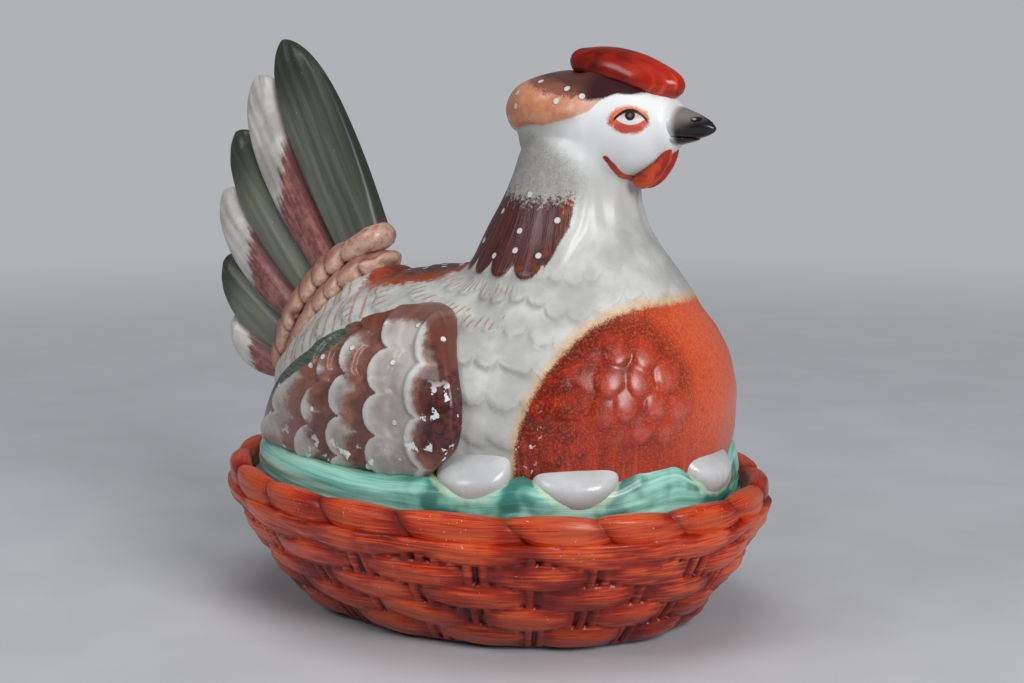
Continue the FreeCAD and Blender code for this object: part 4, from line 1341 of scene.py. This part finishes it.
# %% Make the wings
def make_wing(side, name):
    """One wing: its clay skin, its feathers in relief and its notes."""
    points, faces = remeshed(name, (f"wing_{name}",), 0.62 * fineness)
    edges = edges_of(faces)
    points = relaxed(points, edges, 0.6, round(46 / fineness**2))
    normals = normals_of(points, faces)
    points = points + normals * wing_growth
    x, y, z = points.T
    from_rim, share, since, first_reach, second_reach, last_reach = wing_feathers(x, z)
    dome = np.sqrt(1 - share**2)
    height = 1.25 * tile_height(from_rim, 15.0, 1.5) + 0.45 * dome
    height += 0.03 * np.cos(share * 14)
    height = relaxed(height, edges, 0.6, 2)
    outwards = rise(normals[:, 1] * side, 0.0, 0.35)
    shaped = points + relaxed(normals, edges, 0.5, 3) * ((height - wing_growth) * outwards)[:, None]
    piece = piece_from(f"wing_{name}_feathered", shaped, faces, "cover", "wing_painted_glaze", f"wing_{name}")
    keep_notes(piece, flow=np.stack([z, -x, 0 * x], axis=1))
    keep_notes(piece, since=since, above=np.where(from_rim > 0, from_rim, under_a_rim))
    top_line = line_through(x, (-76, 70), (-49, 91), (-35, 103), (-20, 112), (-5, 119), (5, 121), (13, 119.5),
                            (20, 114), (26, 106))
    keep_notes(piece, top=z - top_line)
    keep_notes(piece, first_reach=first_reach, second_reach=second_reach, last_reach=last_reach)
    way = np.full(len(x), np.inf)
    for dot_x, dot_z in WING_DOTS:
        nearest = np.argmin(np.hypot(x - dot_x, z - dot_z) + 1000 * (outwards < 0.9))
        way = np.minimum(way, np.linalg.norm(shaped - shaped[nearest], axis=1))
    keep_notes(piece, dot=way)
    return piece


wings = [make_wing(-1, "right"), make_wing(1, "left")]
print("Dots on each wing:", len(WING_DOTS))


# %% Wing glaze
def wing_glaze():
    """Brown at each feather's root, white with a painted highlight at its rim, maroon in front and a green
    stripe behind.
    """
    glaze = Glaze("wing_painted_glaze")
    first, second = glaze.note("first_reach"), glaze.note("second_reach")
    last = glaze.note("last_reach")
    blot, fine, wash = glaze.grain(2.2, 3.0), glaze.grain(0.6), glaze.grain(9.0, 2.0)
    x, z = glaze.axis(glaze.place, 0) / MM, glaze.axis(glaze.place, 2) / MM
    base = glaze.grain(12.0, 3.0).fade(0.35, 0.65).paint(colour(152, 144, 137), colour(182, 176, 170))
    # Painted highlight: a lighter band just above each feather's rim.
    base = (glaze.note("above").fade(5.0, 1.0) * 0.35).paint(base, bright_porcelain)
    ragged = (blot - 0.5) * 5.0 + (fine - 0.5) * 3.0
    mauve = wash.fade(0.4, 0.6).paint(colour(100, 52, 42), colour(134, 78, 60))
    mauve = (blot.fade(0.5, 0.62) * 0.5).paint(mauve, colour(88, 40, 34))
    behind = second.fade(0.15, -0.15)
    root = (glaze.note("since") + ragged * 1.3).fade(14.0, 8.0)
    past = last.fade(0.15, -0.15) * (z + ragged).fade(66.0, 71.0)
    root_paint = x.fade(-34.0, -48.0).paint(mauve, colour(132, 84, 72))
    base = (root.most(past) * behind * 0.92).paint(base, root_paint)
    front = first.fade(-0.2, 0.2)
    base = ((first + ragged * 0.6).fade(2.0, 5.0) * 0.9).paint(base, mauve)
    deep = (first + ragged * 0.8).fade(4.5, 8.0) * z.fade(68.0, 76.0)
    base = deep.paint(base, blot.fade(0.4, 0.6).paint(deep_maroon, maroon))
    crown = (glaze.note("top") + ragged * 0.7).fade(-6.5, -3.5) * x.fade(-26.0, -18.0)
    base = (crown * 0.88).paint(base, colour(104, 56, 42))
    stripe_low = (x + 76.0) * 0.62 + 73.0
    stripe = (z - stripe_low + ragged * 0.3).fade(-0.6, 0.6) * x.fade(-18.0, -24.0)
    green = glaze.brush(0.8, 14.0).fade(0.4, 0.6).paint(colour(62, 72, 62), colour(88, 98, 84))
    base = stripe.paint(base, green)
    wear = glaze.grain(5.5, 4.0).fade(0.61, 0.63) * front.most(z.fade(76.0, 68.0)) * z.fade(100.0, 94.0)
    base = wear.paint(base, bright_porcelain)
    dot = glaze.note("dot").fade(1.25, 0.9)
    base = dot.paint(base, colour(210, 204, 200))
    rough = 0.3 + blot * 0.12
    return glaze.finish(base, rough, blot * 0.3 + fine * 0.1 + dot * 1.4 - wear * 0.7, 0.3)


paint_with(wing_glaze(), *wings)

# %% [markdown]
# ## Tail feathers
# The long feathers stand in a fan, green and white by turns, and each slips under the edge of the one in
# front. A remesh would leave that edge ragged, so each blade is swept afresh in its node's place: a flat oval
# section along a bowed quill, as wide as a leaf. Near the edge in front of it a blade sinks, which makes a
# clean step.

# %% Long feathers
fan_middle = np.array([-8.0, 0.0, 44.5])
quill_radius = 100.0  # of the arc that the quills start from
longest_feather, widest_feather = 94.0, 38.0
half_thickness_root, half_thickness_tip = 7.0, 3.0
# From the front one back: place round the fan, lean, shares of the length and width, forward bow of the tip
FAN = (
    (120.8, 117.6, 1.0, 0.78, 0.0),
    (128.2, 125.0, 0.95, 0.90, 4.5),
    (135.4, 133.0, 0.84, 0.82, 5.5),
    (142.6, 142.6, 0.715, 0.78, 6.5),
    (149.7, 154.6, 0.54, 0.76, 6.0),
    (156.0, 166.5, 0.385, 0.66, 3.0),
)


def heading(degrees):
    """The direction, in the hen's middle plane, at an angle up from straight ahead."""
    return np.array([math.cos(math.radians(degrees)), 0.0, math.sin(math.radians(degrees))])


def blade_width(share):
    """A blade's width along its length, as a share of its widest."""
    lower = 0.74 + 0.26 * np.sin(np.clip(share / 0.5, 0, 1) * np.pi / 2)
    upper = (1 - np.clip((share - 0.5) / 0.5, 0, 1) ** 2.6) ** 0.62
    return np.where(share < 0.5, lower, upper)


def quill_of(number):
    """A feather's root, its directions along and across, its length, half width and bow."""
    place, lean, long_share, wide_share, bow = FAN[number - 1]
    along = heading(lean)
    across = np.array([along[2], 0.0, -along[0]])
    root = fan_middle + heading(place) * quill_radius
    return root, along, across, longest_feather * long_share, widest_feather / 2 * wide_share, bow


def behind_edge(points, number):
    """How far points lie behind the rear edge of a feather."""
    root, along, across, length, half_width, bow = quill_of(number)
    share = np.clip((points - root) @ along / length, 0, 1)
    return bow * share**2.2 - (points - root) @ across - half_width * blade_width(share)


print("The longest quill has", longest_feather, "mm")

# %% Make the feathers
def make_feather(number):
    """One long feather with grooves along it."""
    node = f"tail_feather_{number}"
    root, along, across, length, half_width, bow = quill_of(number)
    rows, columns = round(170 / fineness), round(88 / fineness)
    share = np.sin(np.linspace(0.0, 0.99, rows) * np.pi / 2)[:, None]
    turned = np.linspace(0, 2 * np.pi, columns, endpoint=False)[None, :]
    line = half_width * blade_width(share) * np.sign(np.cos(turned)) * np.abs(np.cos(turned)) ** 0.9
    far = length * share + 0 * line
    points = root + along * far[..., None] + across * (line + bow * share**2.2)[..., None]
    lap = behind_edge(points, number - 1) if number > 1 else 0 * line + 60.0
    depth = half_thickness_root + (half_thickness_tip - half_thickness_root) * share
    depth = depth * np.minimum(1, blade_width(share) * 1.6) * 0.94 ** (number - 1)
    depth = depth * (0.2 + 0.8 * rise(lap, -1.5, 6.0))
    grooves = 0.14 * np.cos(line * 1.2 + wobble(far, 17.0, number) * 0.8)
    grooves += 0.1 * wobble(line, 1.4, 40 + number)
    grooves += 0.3 * np.exp(-((line / 1.8) ** 2)) * rise(-share, -0.9, -0.5)
    side = np.sign(np.sin(turned))
    thick = side * (depth * np.abs(np.sin(turned)) ** 0.55 + grooves * rise(np.abs(np.sin(turned)), 0.2, 0.7))
    points[..., 1] = thick
    slot = "feather_green_glaze" if number % 2 else "feather_white_glaze"
    faces = grid_faces(rows, columns)[:, ::-1]
    piece = piece_from(f"{node}_blade", points, faces, "cover", slot, node)
    keep_notes(piece, flow=np.stack([line, far, 0 * far], axis=-1))
    keep_notes(piece, share=share + 0 * line, side=line / half_width, lap=lap)
    close_ends(piece, rows, columns)
    return piece


long_feathers = [make_feather(number) for number in range(1, len(FAN) + 1)]
print("Long feathers:", len(long_feathers))


# %% Glazes of the long feathers
def green_feather_glaze():
    """Grey green brushed along the quill, lighter by the edge in front and dark round the tip, with painted
    shade just behind the edge of the feather in front.
    """
    glaze = Glaze("feather_green_glaze")
    streak, broad = glaze.brush(1.3, 46.0, 3.0), glaze.brush(5.0, 60.0)
    share, side, lap = glaze.note("share"), glaze.note("side"), glaze.note("lap")
    tone = streak * 0.4 + broad * 0.5 - side * 0.14
    base = tone.fade(0.24, 0.72).paint(colour(66, 69, 59), colour(110, 114, 98))
    later = lap.fade(50.0, 30.0) * lap.fade(0.0, 9.0)
    base = (later * 0.4).paint(base, colour(120, 122, 108))
    edge = (share + (streak - 0.5) * 0.16).fade(0.6, 0.9).most((side + (streak - 0.5) * 0.4).fade(0.62, 1.0))
    base = (edge * 0.85).paint(base, colour(40, 42, 37))
    # Painted shade: darker just behind the edge of the feather in front, where this blade dips under it.
    base = (lap.fade(3.5, 0.0) * 0.5).paint(base, colour(52, 52, 46))
    speck = glaze.grain(1.6).fade(0.72, 0.76) * 0.5
    base = speck.paint(base, colour(170, 176, 160))
    return glaze.finish(base, 0.4 + streak * 0.12, streak, 0.12, coat_rough=0.3)


def white_feather_glaze():
    """White at the tip, with mauve brushed up from the root along the edge in front, and painted shade just
    behind that edge.
    """
    glaze = Glaze("feather_white_glaze")
    streak, blot = glaze.brush(1.4, 30.0, 3.0), glaze.grain(3.0, 3.0)
    share, lap = glaze.note("share"), glaze.note("lap")
    base = glaze.grain(12.0, 3.0).fade(0.35, 0.65).paint(colour(170, 166, 160), colour(198, 195, 190))
    reach = share - 0.68 + lap * 0.016 + (streak - 0.5) * 0.24 + (blot - 0.5) * 0.1
    mauve = (streak * 0.5 + blot * 0.6).fade(0.42, 0.72).paint(colour(104, 46, 42), colour(160, 98, 92))
    dark_edge = (lap + (streak - 0.5) * 5.0).fade(6.0, 1.0)
    mauve = (dark_edge * 0.85).paint(mauve, colour(82, 26, 25))
    base = (reach.fade(0.05, -0.05) * 0.95).paint(base, mauve)
    # Painted shade: darker just behind the edge of the feather in front, where this blade dips under it.
    base = (lap.fade(2.5, 0.0) * 0.6).paint(base, colour(92, 66, 60))
    return glaze.finish(base, 0.36 + streak * 0.12, streak, 0.12, coat_rough=0.28)


paint_with(green_feather_glaze(), *long_feathers[0::2])
paint_with(white_feather_glaze(), *long_feathers[1::2])

# %% [markdown]
# ## Coverts
# Each row of coverts is a string of short plump lobes. A lobe takes a few degrees round the fan's middle, and
# its clay rises in a dome whose edge laps the next. Uneven lumps keep the row from looking machined. A brown
# wash sits on the upper side and in the gaps, where painted shade darkens it further, and the lower side
# stays a pale pinkish tan.

# %% Coverts
covert_lobe = 6.6  # degrees round the fan's middle
end_knobs = {"outer": 1.0, "inner": -1.6}  # how much clay is added or taken at a row's top end


def make_coverts(which, phase_shift):
    """One row of coverts."""
    node = f"covert_row_{which}"
    points, faces = remeshed(node, (node,), 0.75 * fineness)
    edges = edges_of(faces)
    points = relaxed(points, edges, 0.5, 6)
    normals = normals_of(points, faces)
    away = points - fan_middle
    radius = np.hypot(away[:, 0], away[:, 2])
    angle = np.degrees(np.arctan2(away[:, 2], away[:, 0]))
    band = radius - np.median(radius)
    uneven = 0.5 * wobble(angle, 5.0, 51 + len(which)) + 0.2 * wobble(points[:, 1], 5.0, 52)
    phase = ((angle + band * 0.3) / covert_lobe + phase_shift + uneven) % 1.0
    dome = np.sqrt(np.clip(1 - (2 * phase**1.3 - 1) ** 2, 0, 1))
    knob = end_knobs[which] * rise(-angle, -121.0, -115.0)
    lumps = 0.5 * wobble(angle * 1.6 + band * 0.5, 3.1, 57) * wobble(band + angle * 0.3, 2.4, 58)
    frill = 1.2 * rise(-band, -1.0, 3.5)
    height = relaxed((0.8 + 0.7 * frill) * dome - 0.5 + knob + lumps, edges, 0.6, 2)
    shaped = points + normals * height[:, None]
    piece = piece_from(f"{node}_lobed", shaped, faces, "cover", "covert_tan_glaze", node)
    keep_notes(piece, flow=np.stack([angle * 1.7, radius, 0 * radius], axis=1))
    keep_notes(piece, dome=dome, band=band)
    return piece


coverts = [make_coverts("inner", 0.2), make_coverts("outer", 0.65)]


print("A lobe takes", covert_lobe, "degrees")

# %% Glaze of the coverts
def covert_glaze():
    """Pinkish tan under a brown wash, darkest between the lobes, where painted shade is added to the wash."""
    glaze = Glaze("covert_tan_glaze")
    blot, fine, wash = glaze.grain(2.4, 3.0), glaze.grain(0.7), glaze.grain(16.0, 2.0)
    dome, band = glaze.note("dome"), glaze.note("band")
    base = blot.fade(0.35, 0.65).paint(colour(186, 142, 122), colour(214, 182, 164))
    upper = (band + (blot - 0.5) * 6.0 + (dome - 0.5) * 2.0).fade(-1.5, 2.5)
    brown = wash.fade(0.42, 0.6).paint(colour(136, 72, 54), colour(150, 96, 84))
    base = (upper * 0.8).paint(base, brown)
    # Brown wash and painted shade: darkest between the lobes.
    base = (dome.fade(0.7, 0.1) * (blot.fade(0.3, 0.6) * 0.45 + 0.5)).paint(base, colour(112, 50, 36))
    z = glaze.axis(glaze.place, 2) / MM
    base = (z.fade(128.0, 136.0) * blot.fade(0.35, 0.6) * 0.6).paint(base, colour(206, 172, 160))
    base = (z.fade(92.0, 82.0) * 0.5).paint(base, colour(178, 96, 64))
    base = fine.fade(0.73, 0.76).paint(base, colour(220, 208, 200))
    return glaze.finish(base, 0.3 + blot * 0.1, blot * 0.4 + fine * 0.1, 0.3)


paint_with(covert_glaze(), *coverts)

# %% [markdown]
# ## Comb, beak and wattles
# These small parts were cast solid and stuck on. Each keeps its solid's form under a fine skin. The comb gets
# dents from the modeller's thumb and a fuller back end, the wattles an uneven face, and the beak a low ridge
# and a nostril on each side.

# %% Small parts of the head
fine_voxel = 0.35
beak_root_end, beak_sunk = 77.0, 3.0  # the beak's root is drawn back into the face by this much


def make_trim(name, slot, nodes, voxel, shape, sunk=0.0):
    """A fine skin over small nodes, pushed out by a relief that shape works out from its points."""
    points, faces = remeshed(name, nodes, voxel * fineness)
    edges = edges_of(faces)
    points = relaxed(points, edges, 0.5, 3)
    normals = normals_of(points, faces)
    height = relaxed(shape(*points.T), edges, 0.5, 1)
    points[:, 0] -= sunk * rise(-points[:, 0], -beak_root_end - 3.0, -beak_root_end)
    piece = piece_from(name, points + normals * height[:, None], faces, "cover", slot, *nodes)
    keep_notes(piece, flow=np.stack([points[:, 1], points[:, 0], points[:, 2]], axis=1))
    return piece


def comb_relief(x, y, z):
    """Shallow dents along the cap's top, a fuller back end and a fuller lip in front."""
    dents = 0.35 * wobble(x + 0.4 * z, 7.0, 21) + 0.2 * wobble(y, 3.0, 22)
    front_low = 0.9 * rise(x, 58.0, 66.0) * rise(-z, -206.0, -198.0)
    return dents + 0.7 * rise(-x, -44.0, -38.0) + front_low


def wattle_relief(x, y, z):
    """An uneven face, as from a thumb."""
    return 0.3 * wobble(z, 4.0, 31)


def beak_relief(x, y, z):
    """A ridge along the top and two nostrils."""
    nostril = np.exp(-(((x - 88.0) / 1.3) ** 2 + ((z - 186.4) / 0.7) ** 2)) * (np.abs(y) > 1.0)
    return 0.25 * np.exp(-((y / 1.2) ** 2)) * (z > 185.0) - 0.6 * nostril


comb = make_trim("comb_cap", "comb_red_glaze", ("comb",), 0.6, comb_relief)
wattles = [make_trim(f"wattle_{side}_flap", "comb_red_glaze", (f"wattle_{side}",), fine_voxel, wattle_relief)
           for side in ("right", "left")]
beaks = [make_trim(f"{node}_horn", "beak_black_glaze", (node,), fine_voxel, beak_relief, beak_sunk)
         for node in ("beak_upper", "beak_lower")]
print("Small parts:", 1 + len(wattles) + len(beaks))


# %% Glazes of the small parts
def comb_glaze():
    """Dark iron red streaked with orange, for comb and wattles, with painted highlights and a brighter
    painted red on the comb's front.
    """
    glaze = Glaze("comb_red_glaze")
    streak, blot = glaze.brush(1.6, 16.0, 3.0), glaze.grain(6.0, 3.0)
    z = glaze.axis(glaze.place, 2) / MM
    x = glaze.axis(glaze.place, 0) / MM
    base = (streak * 0.7 + blot * 0.5).fade(0.42, 0.74).paint(colour(84, 8, 4), colour(144, 26, 10))
    lit_front = streak.fade(0.5, 0.68) * z.fade(206.0, 196.0) * x.fade(50.0, 66.0)
    base = lit_front.paint(base, colour(206, 88, 40))
    # Painted light: a brighter red on the comb's front end, where the light falls.
    base = (x.fade(58.0, 72.0) * z.fade(180.0, 190.0) * 0.5).paint(base, colour(190, 46, 24))
    wattle_red = streak.fade(0.4, 0.6).paint(colour(166, 30, 12), colour(206, 74, 34))
    base = (z.fade(182.0, 178.0) * 0.75).paint(base, wattle_red)
    worn = glaze.grain(2.2, 3.0).fade(0.74, 0.76) * glaze.grain(14.0).fade(0.5, 0.6)
    base = worn.paint(base, colour(216, 196, 188))
    return glaze.finish(base, 0.2 + streak * 0.12, streak * 0.7 - worn, 0.2, coat=0.22)


def beak_glaze():
    """Black with a worn grey top, and the face's white where it meets the head."""
    glaze = Glaze("beak_black_glaze")
    x, z = glaze.axis(glaze.place, 0) / MM, glaze.axis(glaze.place, 2) / MM
    grain = glaze.grain(3.0, 3.0)
    dark = (x - 84.0) * 0.4 - (z - 186.0) + (grain - 0.5) * 3.0
    base = dark.fade(-1.5, 3.5).paint(colour(112, 106, 100), ink)
    base = ((z + (grain - 0.5) * 1.0).fade(183.0, 181.6)).paint(base, ink)
    y = glaze.axis(glaze.place, 1) / MM
    nostril = ((x - 88.0) / 1.7).power(2) + ((z - 186.4) / 0.9).power(2)
    base = (nostril.fade(1.1, 0.8) * abs(y).fade(0.8, 1.2)).paint(base, ink)
    base = (x + (grain - 0.5) * 1.5).fade(82.0, 78.2).paint(base, colour(214, 216, 216))
    speck = glaze.grain(0.6).fade(0.72, 0.75) * x.fade(86.0, 89.0)
    base = (speck * 0.8).paint(base, colour(205, 204, 202))
    return glaze.finish(base, 0.24 + grain * 0.1, grain * 0.4 + speck * 0.4, 0.15)


paint_with(comb_glaze(), comb, *wattles)
paint_with(beak_glaze(), *beaks)

# %% [markdown]
# ## Eggs
# The hen sits on her eggs: each shows its lower half, and its upper half runs up into her like a bulge in one
# skin. So an egg is swept in rings from its underside. It widens all the way up like a half moon, has the
# solid's depth up to its waist, and above the waist leans back under her.

# %% Eggs that run up under the hen
egg_rise, egg_spread = 1.2, 1.14  # height above the waist and width, as shares of the solid's
egg_sunk = 6.5  # how far behind its middle an egg's top ends


def make_egg(node):
    """One egg, from its solid's own reach, length and height."""
    low, high = box_of(node)
    middle, half = (low + high) / 2, (high - low) / 2
    outward = np.array([middle[0] - np.clip(middle[0], -45.0, 40.0), middle[1], 0.0])
    outward /= np.linalg.norm(outward)
    sideways = np.array([-outward[1], outward[0], 0.0])
    solid = points_of(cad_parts[node].data) - middle
    reach, length = (solid @ outward).max(), np.abs(solid @ sideways).max()
    rows, columns = round(64 / fineness), round(96 / fineness)
    height = np.sin(np.linspace(-0.49, 0.49, rows) * np.pi)[:, None]
    turned = np.linspace(0, 2 * np.pi, columns, endpoint=False)[None, :]
    up = np.clip(height, 0, 1)
    leant = up**1.8
    ring = np.where(height < 0, np.sqrt(1 - height**2), 1.0)
    below_top = (egg_rise - height * (1 + (egg_rise - 1) * up)) / (egg_rise + 1)
    wide = length * egg_spread * np.sqrt(np.clip(1 - below_top**2, 0, 1)) * (1 - 0.32 * up**2)
    wide = wide * np.sin(turned)
    deep = half[2] * ring * np.cos(turned) * (1 - 0.95 * leant)
    deep = deep + (reach - half[2]) * (1 - leant) - egg_sunk * leant
    lift = half[2] * height * (1 + (egg_rise - 1) * up) + 0 * wide
    points = middle + outward * deep[..., None] + sideways * wide[..., None]
    points[..., 2] += lift
    faces = grid_faces(rows, columns)
    egg = piece_from(f"{node}_glazed", points, faces, "cover", "egg_white_glaze", node)
    close_ends(egg, rows, columns)
    return egg


eggs = [make_egg(name) for name in egg_names]
print("Eggs:", len(eggs))

# %% [markdown]
# ## Glazes of the eggs, ledge, flange and foot
# The ledge, flange and foot ring keep their solids, whose shapes are already right. Eggs and ledge are glossy
# white with faint pits. The flange and the foot ring were wiped bare before the firing, so they show dry,
# slightly buff biscuit.

# %% Plain glazes
def white_glaze(name, pit_size):
    """Glossy white with faint pits."""
    glaze = Glaze(name)
    broad, pit = glaze.grain(16.0, 3.0), glaze.grain(pit_size)
    base = broad.fade(0.35, 0.65).paint(colour(178, 180, 180), colour(194, 196, 196))
    base = (pit.fade(0.72, 0.76) * 0.35).paint(base, colour(150, 140, 128))
    height = broad * 0.8 - pit.fade(0.7, 0.76) * 0.2
    return glaze.finish(base, 0.22 + broad * 0.1, height, 0.4, coat_rough=0.1)


def biscuit(name):
    """Dry, sandy, unglazed clay with a few stains."""
    glaze = Glaze(name)
    sand, broad = glaze.grain(0.5, 3.0), glaze.grain(18.0)
    base = (sand * 0.5 + broad * 0.5).fade(0.35, 0.65).paint(colour(196, 186, 170), colour(214, 208, 196))
    base = (glaze.grain(7.0, 4.0).fade(0.62, 0.72) * 0.5).paint(base, colour(142, 126, 106))
    return glaze.finish(base, 0.72 + sand * 0.15, sand, 0.12, coat=0.0)


paint_with(white_glaze("egg_white_glaze", 1.2), *eggs)
ledge_paint, biscuit_paint = white_glaze("white_glaze", 1.6), biscuit("bare_biscuit")
plain_nodes = {"cover_ledge": ledge_paint, "cover_flange": biscuit_paint, "foot_ring": biscuit_paint}
for node, paint in plain_nodes.items():
    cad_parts[node].data.materials.clear()
    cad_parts[node].data.materials.append(paint)
print("Nodes that keep their solids:", sorted(plain_nodes))

# %% [markdown]
# ## Floor and light
# A pale floor that curves up all round into a wall gives a plain ground from every side. Two softboxes and a
# broad one overhead light the dish as in a small studio: bright enough to shape it, and low enough that white
# porcelain keeps its tone.

# %% Floor
def floor_paint():
    """Matt and pale where the shadow falls, and for the camera one even tone further out."""
    glaze = Glaze("pale_floor")
    base = glaze.grain(60.0, 2.0).fade(0.3, 0.7).paint(colour(184, 186, 190), colour(190, 192, 196))
    matt = glaze.start.node("ShaderNodeBsdfPrincipled", None, {"Base Color": base, "Roughness": 0.6})
    even = glaze.start.node("ShaderNodeEmission", None, {"Color": colour(176, 178, 182), "Strength": 1.0})
    away = glaze.length(glaze.place)
    seen = glaze.start.node("ShaderNodeLightPath", output=0)
    mixed = glaze.start.node("ShaderNodeMixShader", None, {0: away.fade(0.35, 1.3) * seen, 1: matt, 2: even})
    glaze.start.node("ShaderNodeOutputMaterial", None, {"Surface": mixed})
    return glaze.material


def make_floor():
    """A wide floor that curves up into a wall all round, in metres."""
    flat_radius, bend_radius, wall_top, columns = 2.2, 0.9, 2.6, 96
    rows = [(0.02, 0.0), (0.4, 0.0), (1.0, 0.0), (1.8, 0.0)]
    for share in np.linspace(0, 1, 12):
        bent = share * math.pi / 2
        rows.append((flat_radius + bend_radius * math.sin(bent), bend_radius * (1 - math.cos(bent))))
    rows.append((flat_radius + bend_radius, wall_top))
    around = np.linspace(0, 2 * np.pi, columns, endpoint=False)
    points = [(radius * math.cos(a), radius * math.sin(a), height) for radius, height in rows for a in around]
    mesh = bpy.data.meshes.new("floor")
    mesh.from_pydata(points, [], grid_faces(len(rows), columns).tolist() + [list(range(columns))])
    mesh.shade_smooth()
    floor = bpy.data.objects.new("floor", mesh)
    bpy.context.collection.objects.link(floor)
    floor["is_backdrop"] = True
    floor.data.materials.append(floor_paint())
    return floor


floor = make_floor()
print("Floor spans", round(floor.dimensions.x, 1), "m")


# %% Lights
lamp_aim_height = 0.1  # metres; about half the hen's height


def softbox(name, azimuth, distance, height, size, power):
    """A square lamp turned to face the dish. Azimuth 0 is on the side that the hen's right faces."""
    lamp = bpy.data.lights.new(name, "AREA")
    lamp.size = size
    lamp.energy = power
    box = bpy.data.objects.new(name, lamp)
    bpy.context.collection.objects.link(box)
    a = math.radians(azimuth)
    box.location = (distance * math.sin(a), -distance * math.cos(a), height)
    towards = -box.location
    towards.z += lamp_aim_height
    box.rotation_euler = towards.to_track_quat("-Z", "Y").to_euler()
    return box


softbox("softbox_left", azimuth=-25, distance=1.6, height=1.2, size=0.7, power=9)
softbox("softbox_right", azimuth=66, distance=1.6, height=0.95, size=0.8, power=24)
overhead = softbox("softbox_top", azimuth=20, distance=0.2, height=1.8, size=1.2, power=13)
overhead.visible_glossy = False  # its reflection would veil the hen's back


def studio_world():
    """Pale to the camera, and much dimmer to the glaze, so that it doesn't veil the paint."""
    world = bpy.data.worlds.new("studio")
    world.use_nodes = True
    world.node_tree.nodes.clear()
    start = Tone(world.node_tree)
    seen = start.node("ShaderNodeLightPath", output=0)
    shade = seen.paint(colour(92, 94, 98), colour(196, 198, 203))
    background = start.node("ShaderNodeBackground", None, {"Color": shade, "Strength": 1.0})
    start.node("ShaderNodeOutputWorld", None, {"Surface": background})
    return world


bpy.context.scene.world = studio_world()
bpy.context.scene.view_settings.view_transform = "Standard"

# %% Compare the dressed model's box with the solids' box
dressed_box = [list(corner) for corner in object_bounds()]
for name, box in (("CAD", cad_box), ("dressed", dressed_box)):
    print(name, [[round(value / MM, 1) for value in corner] for corner in box])
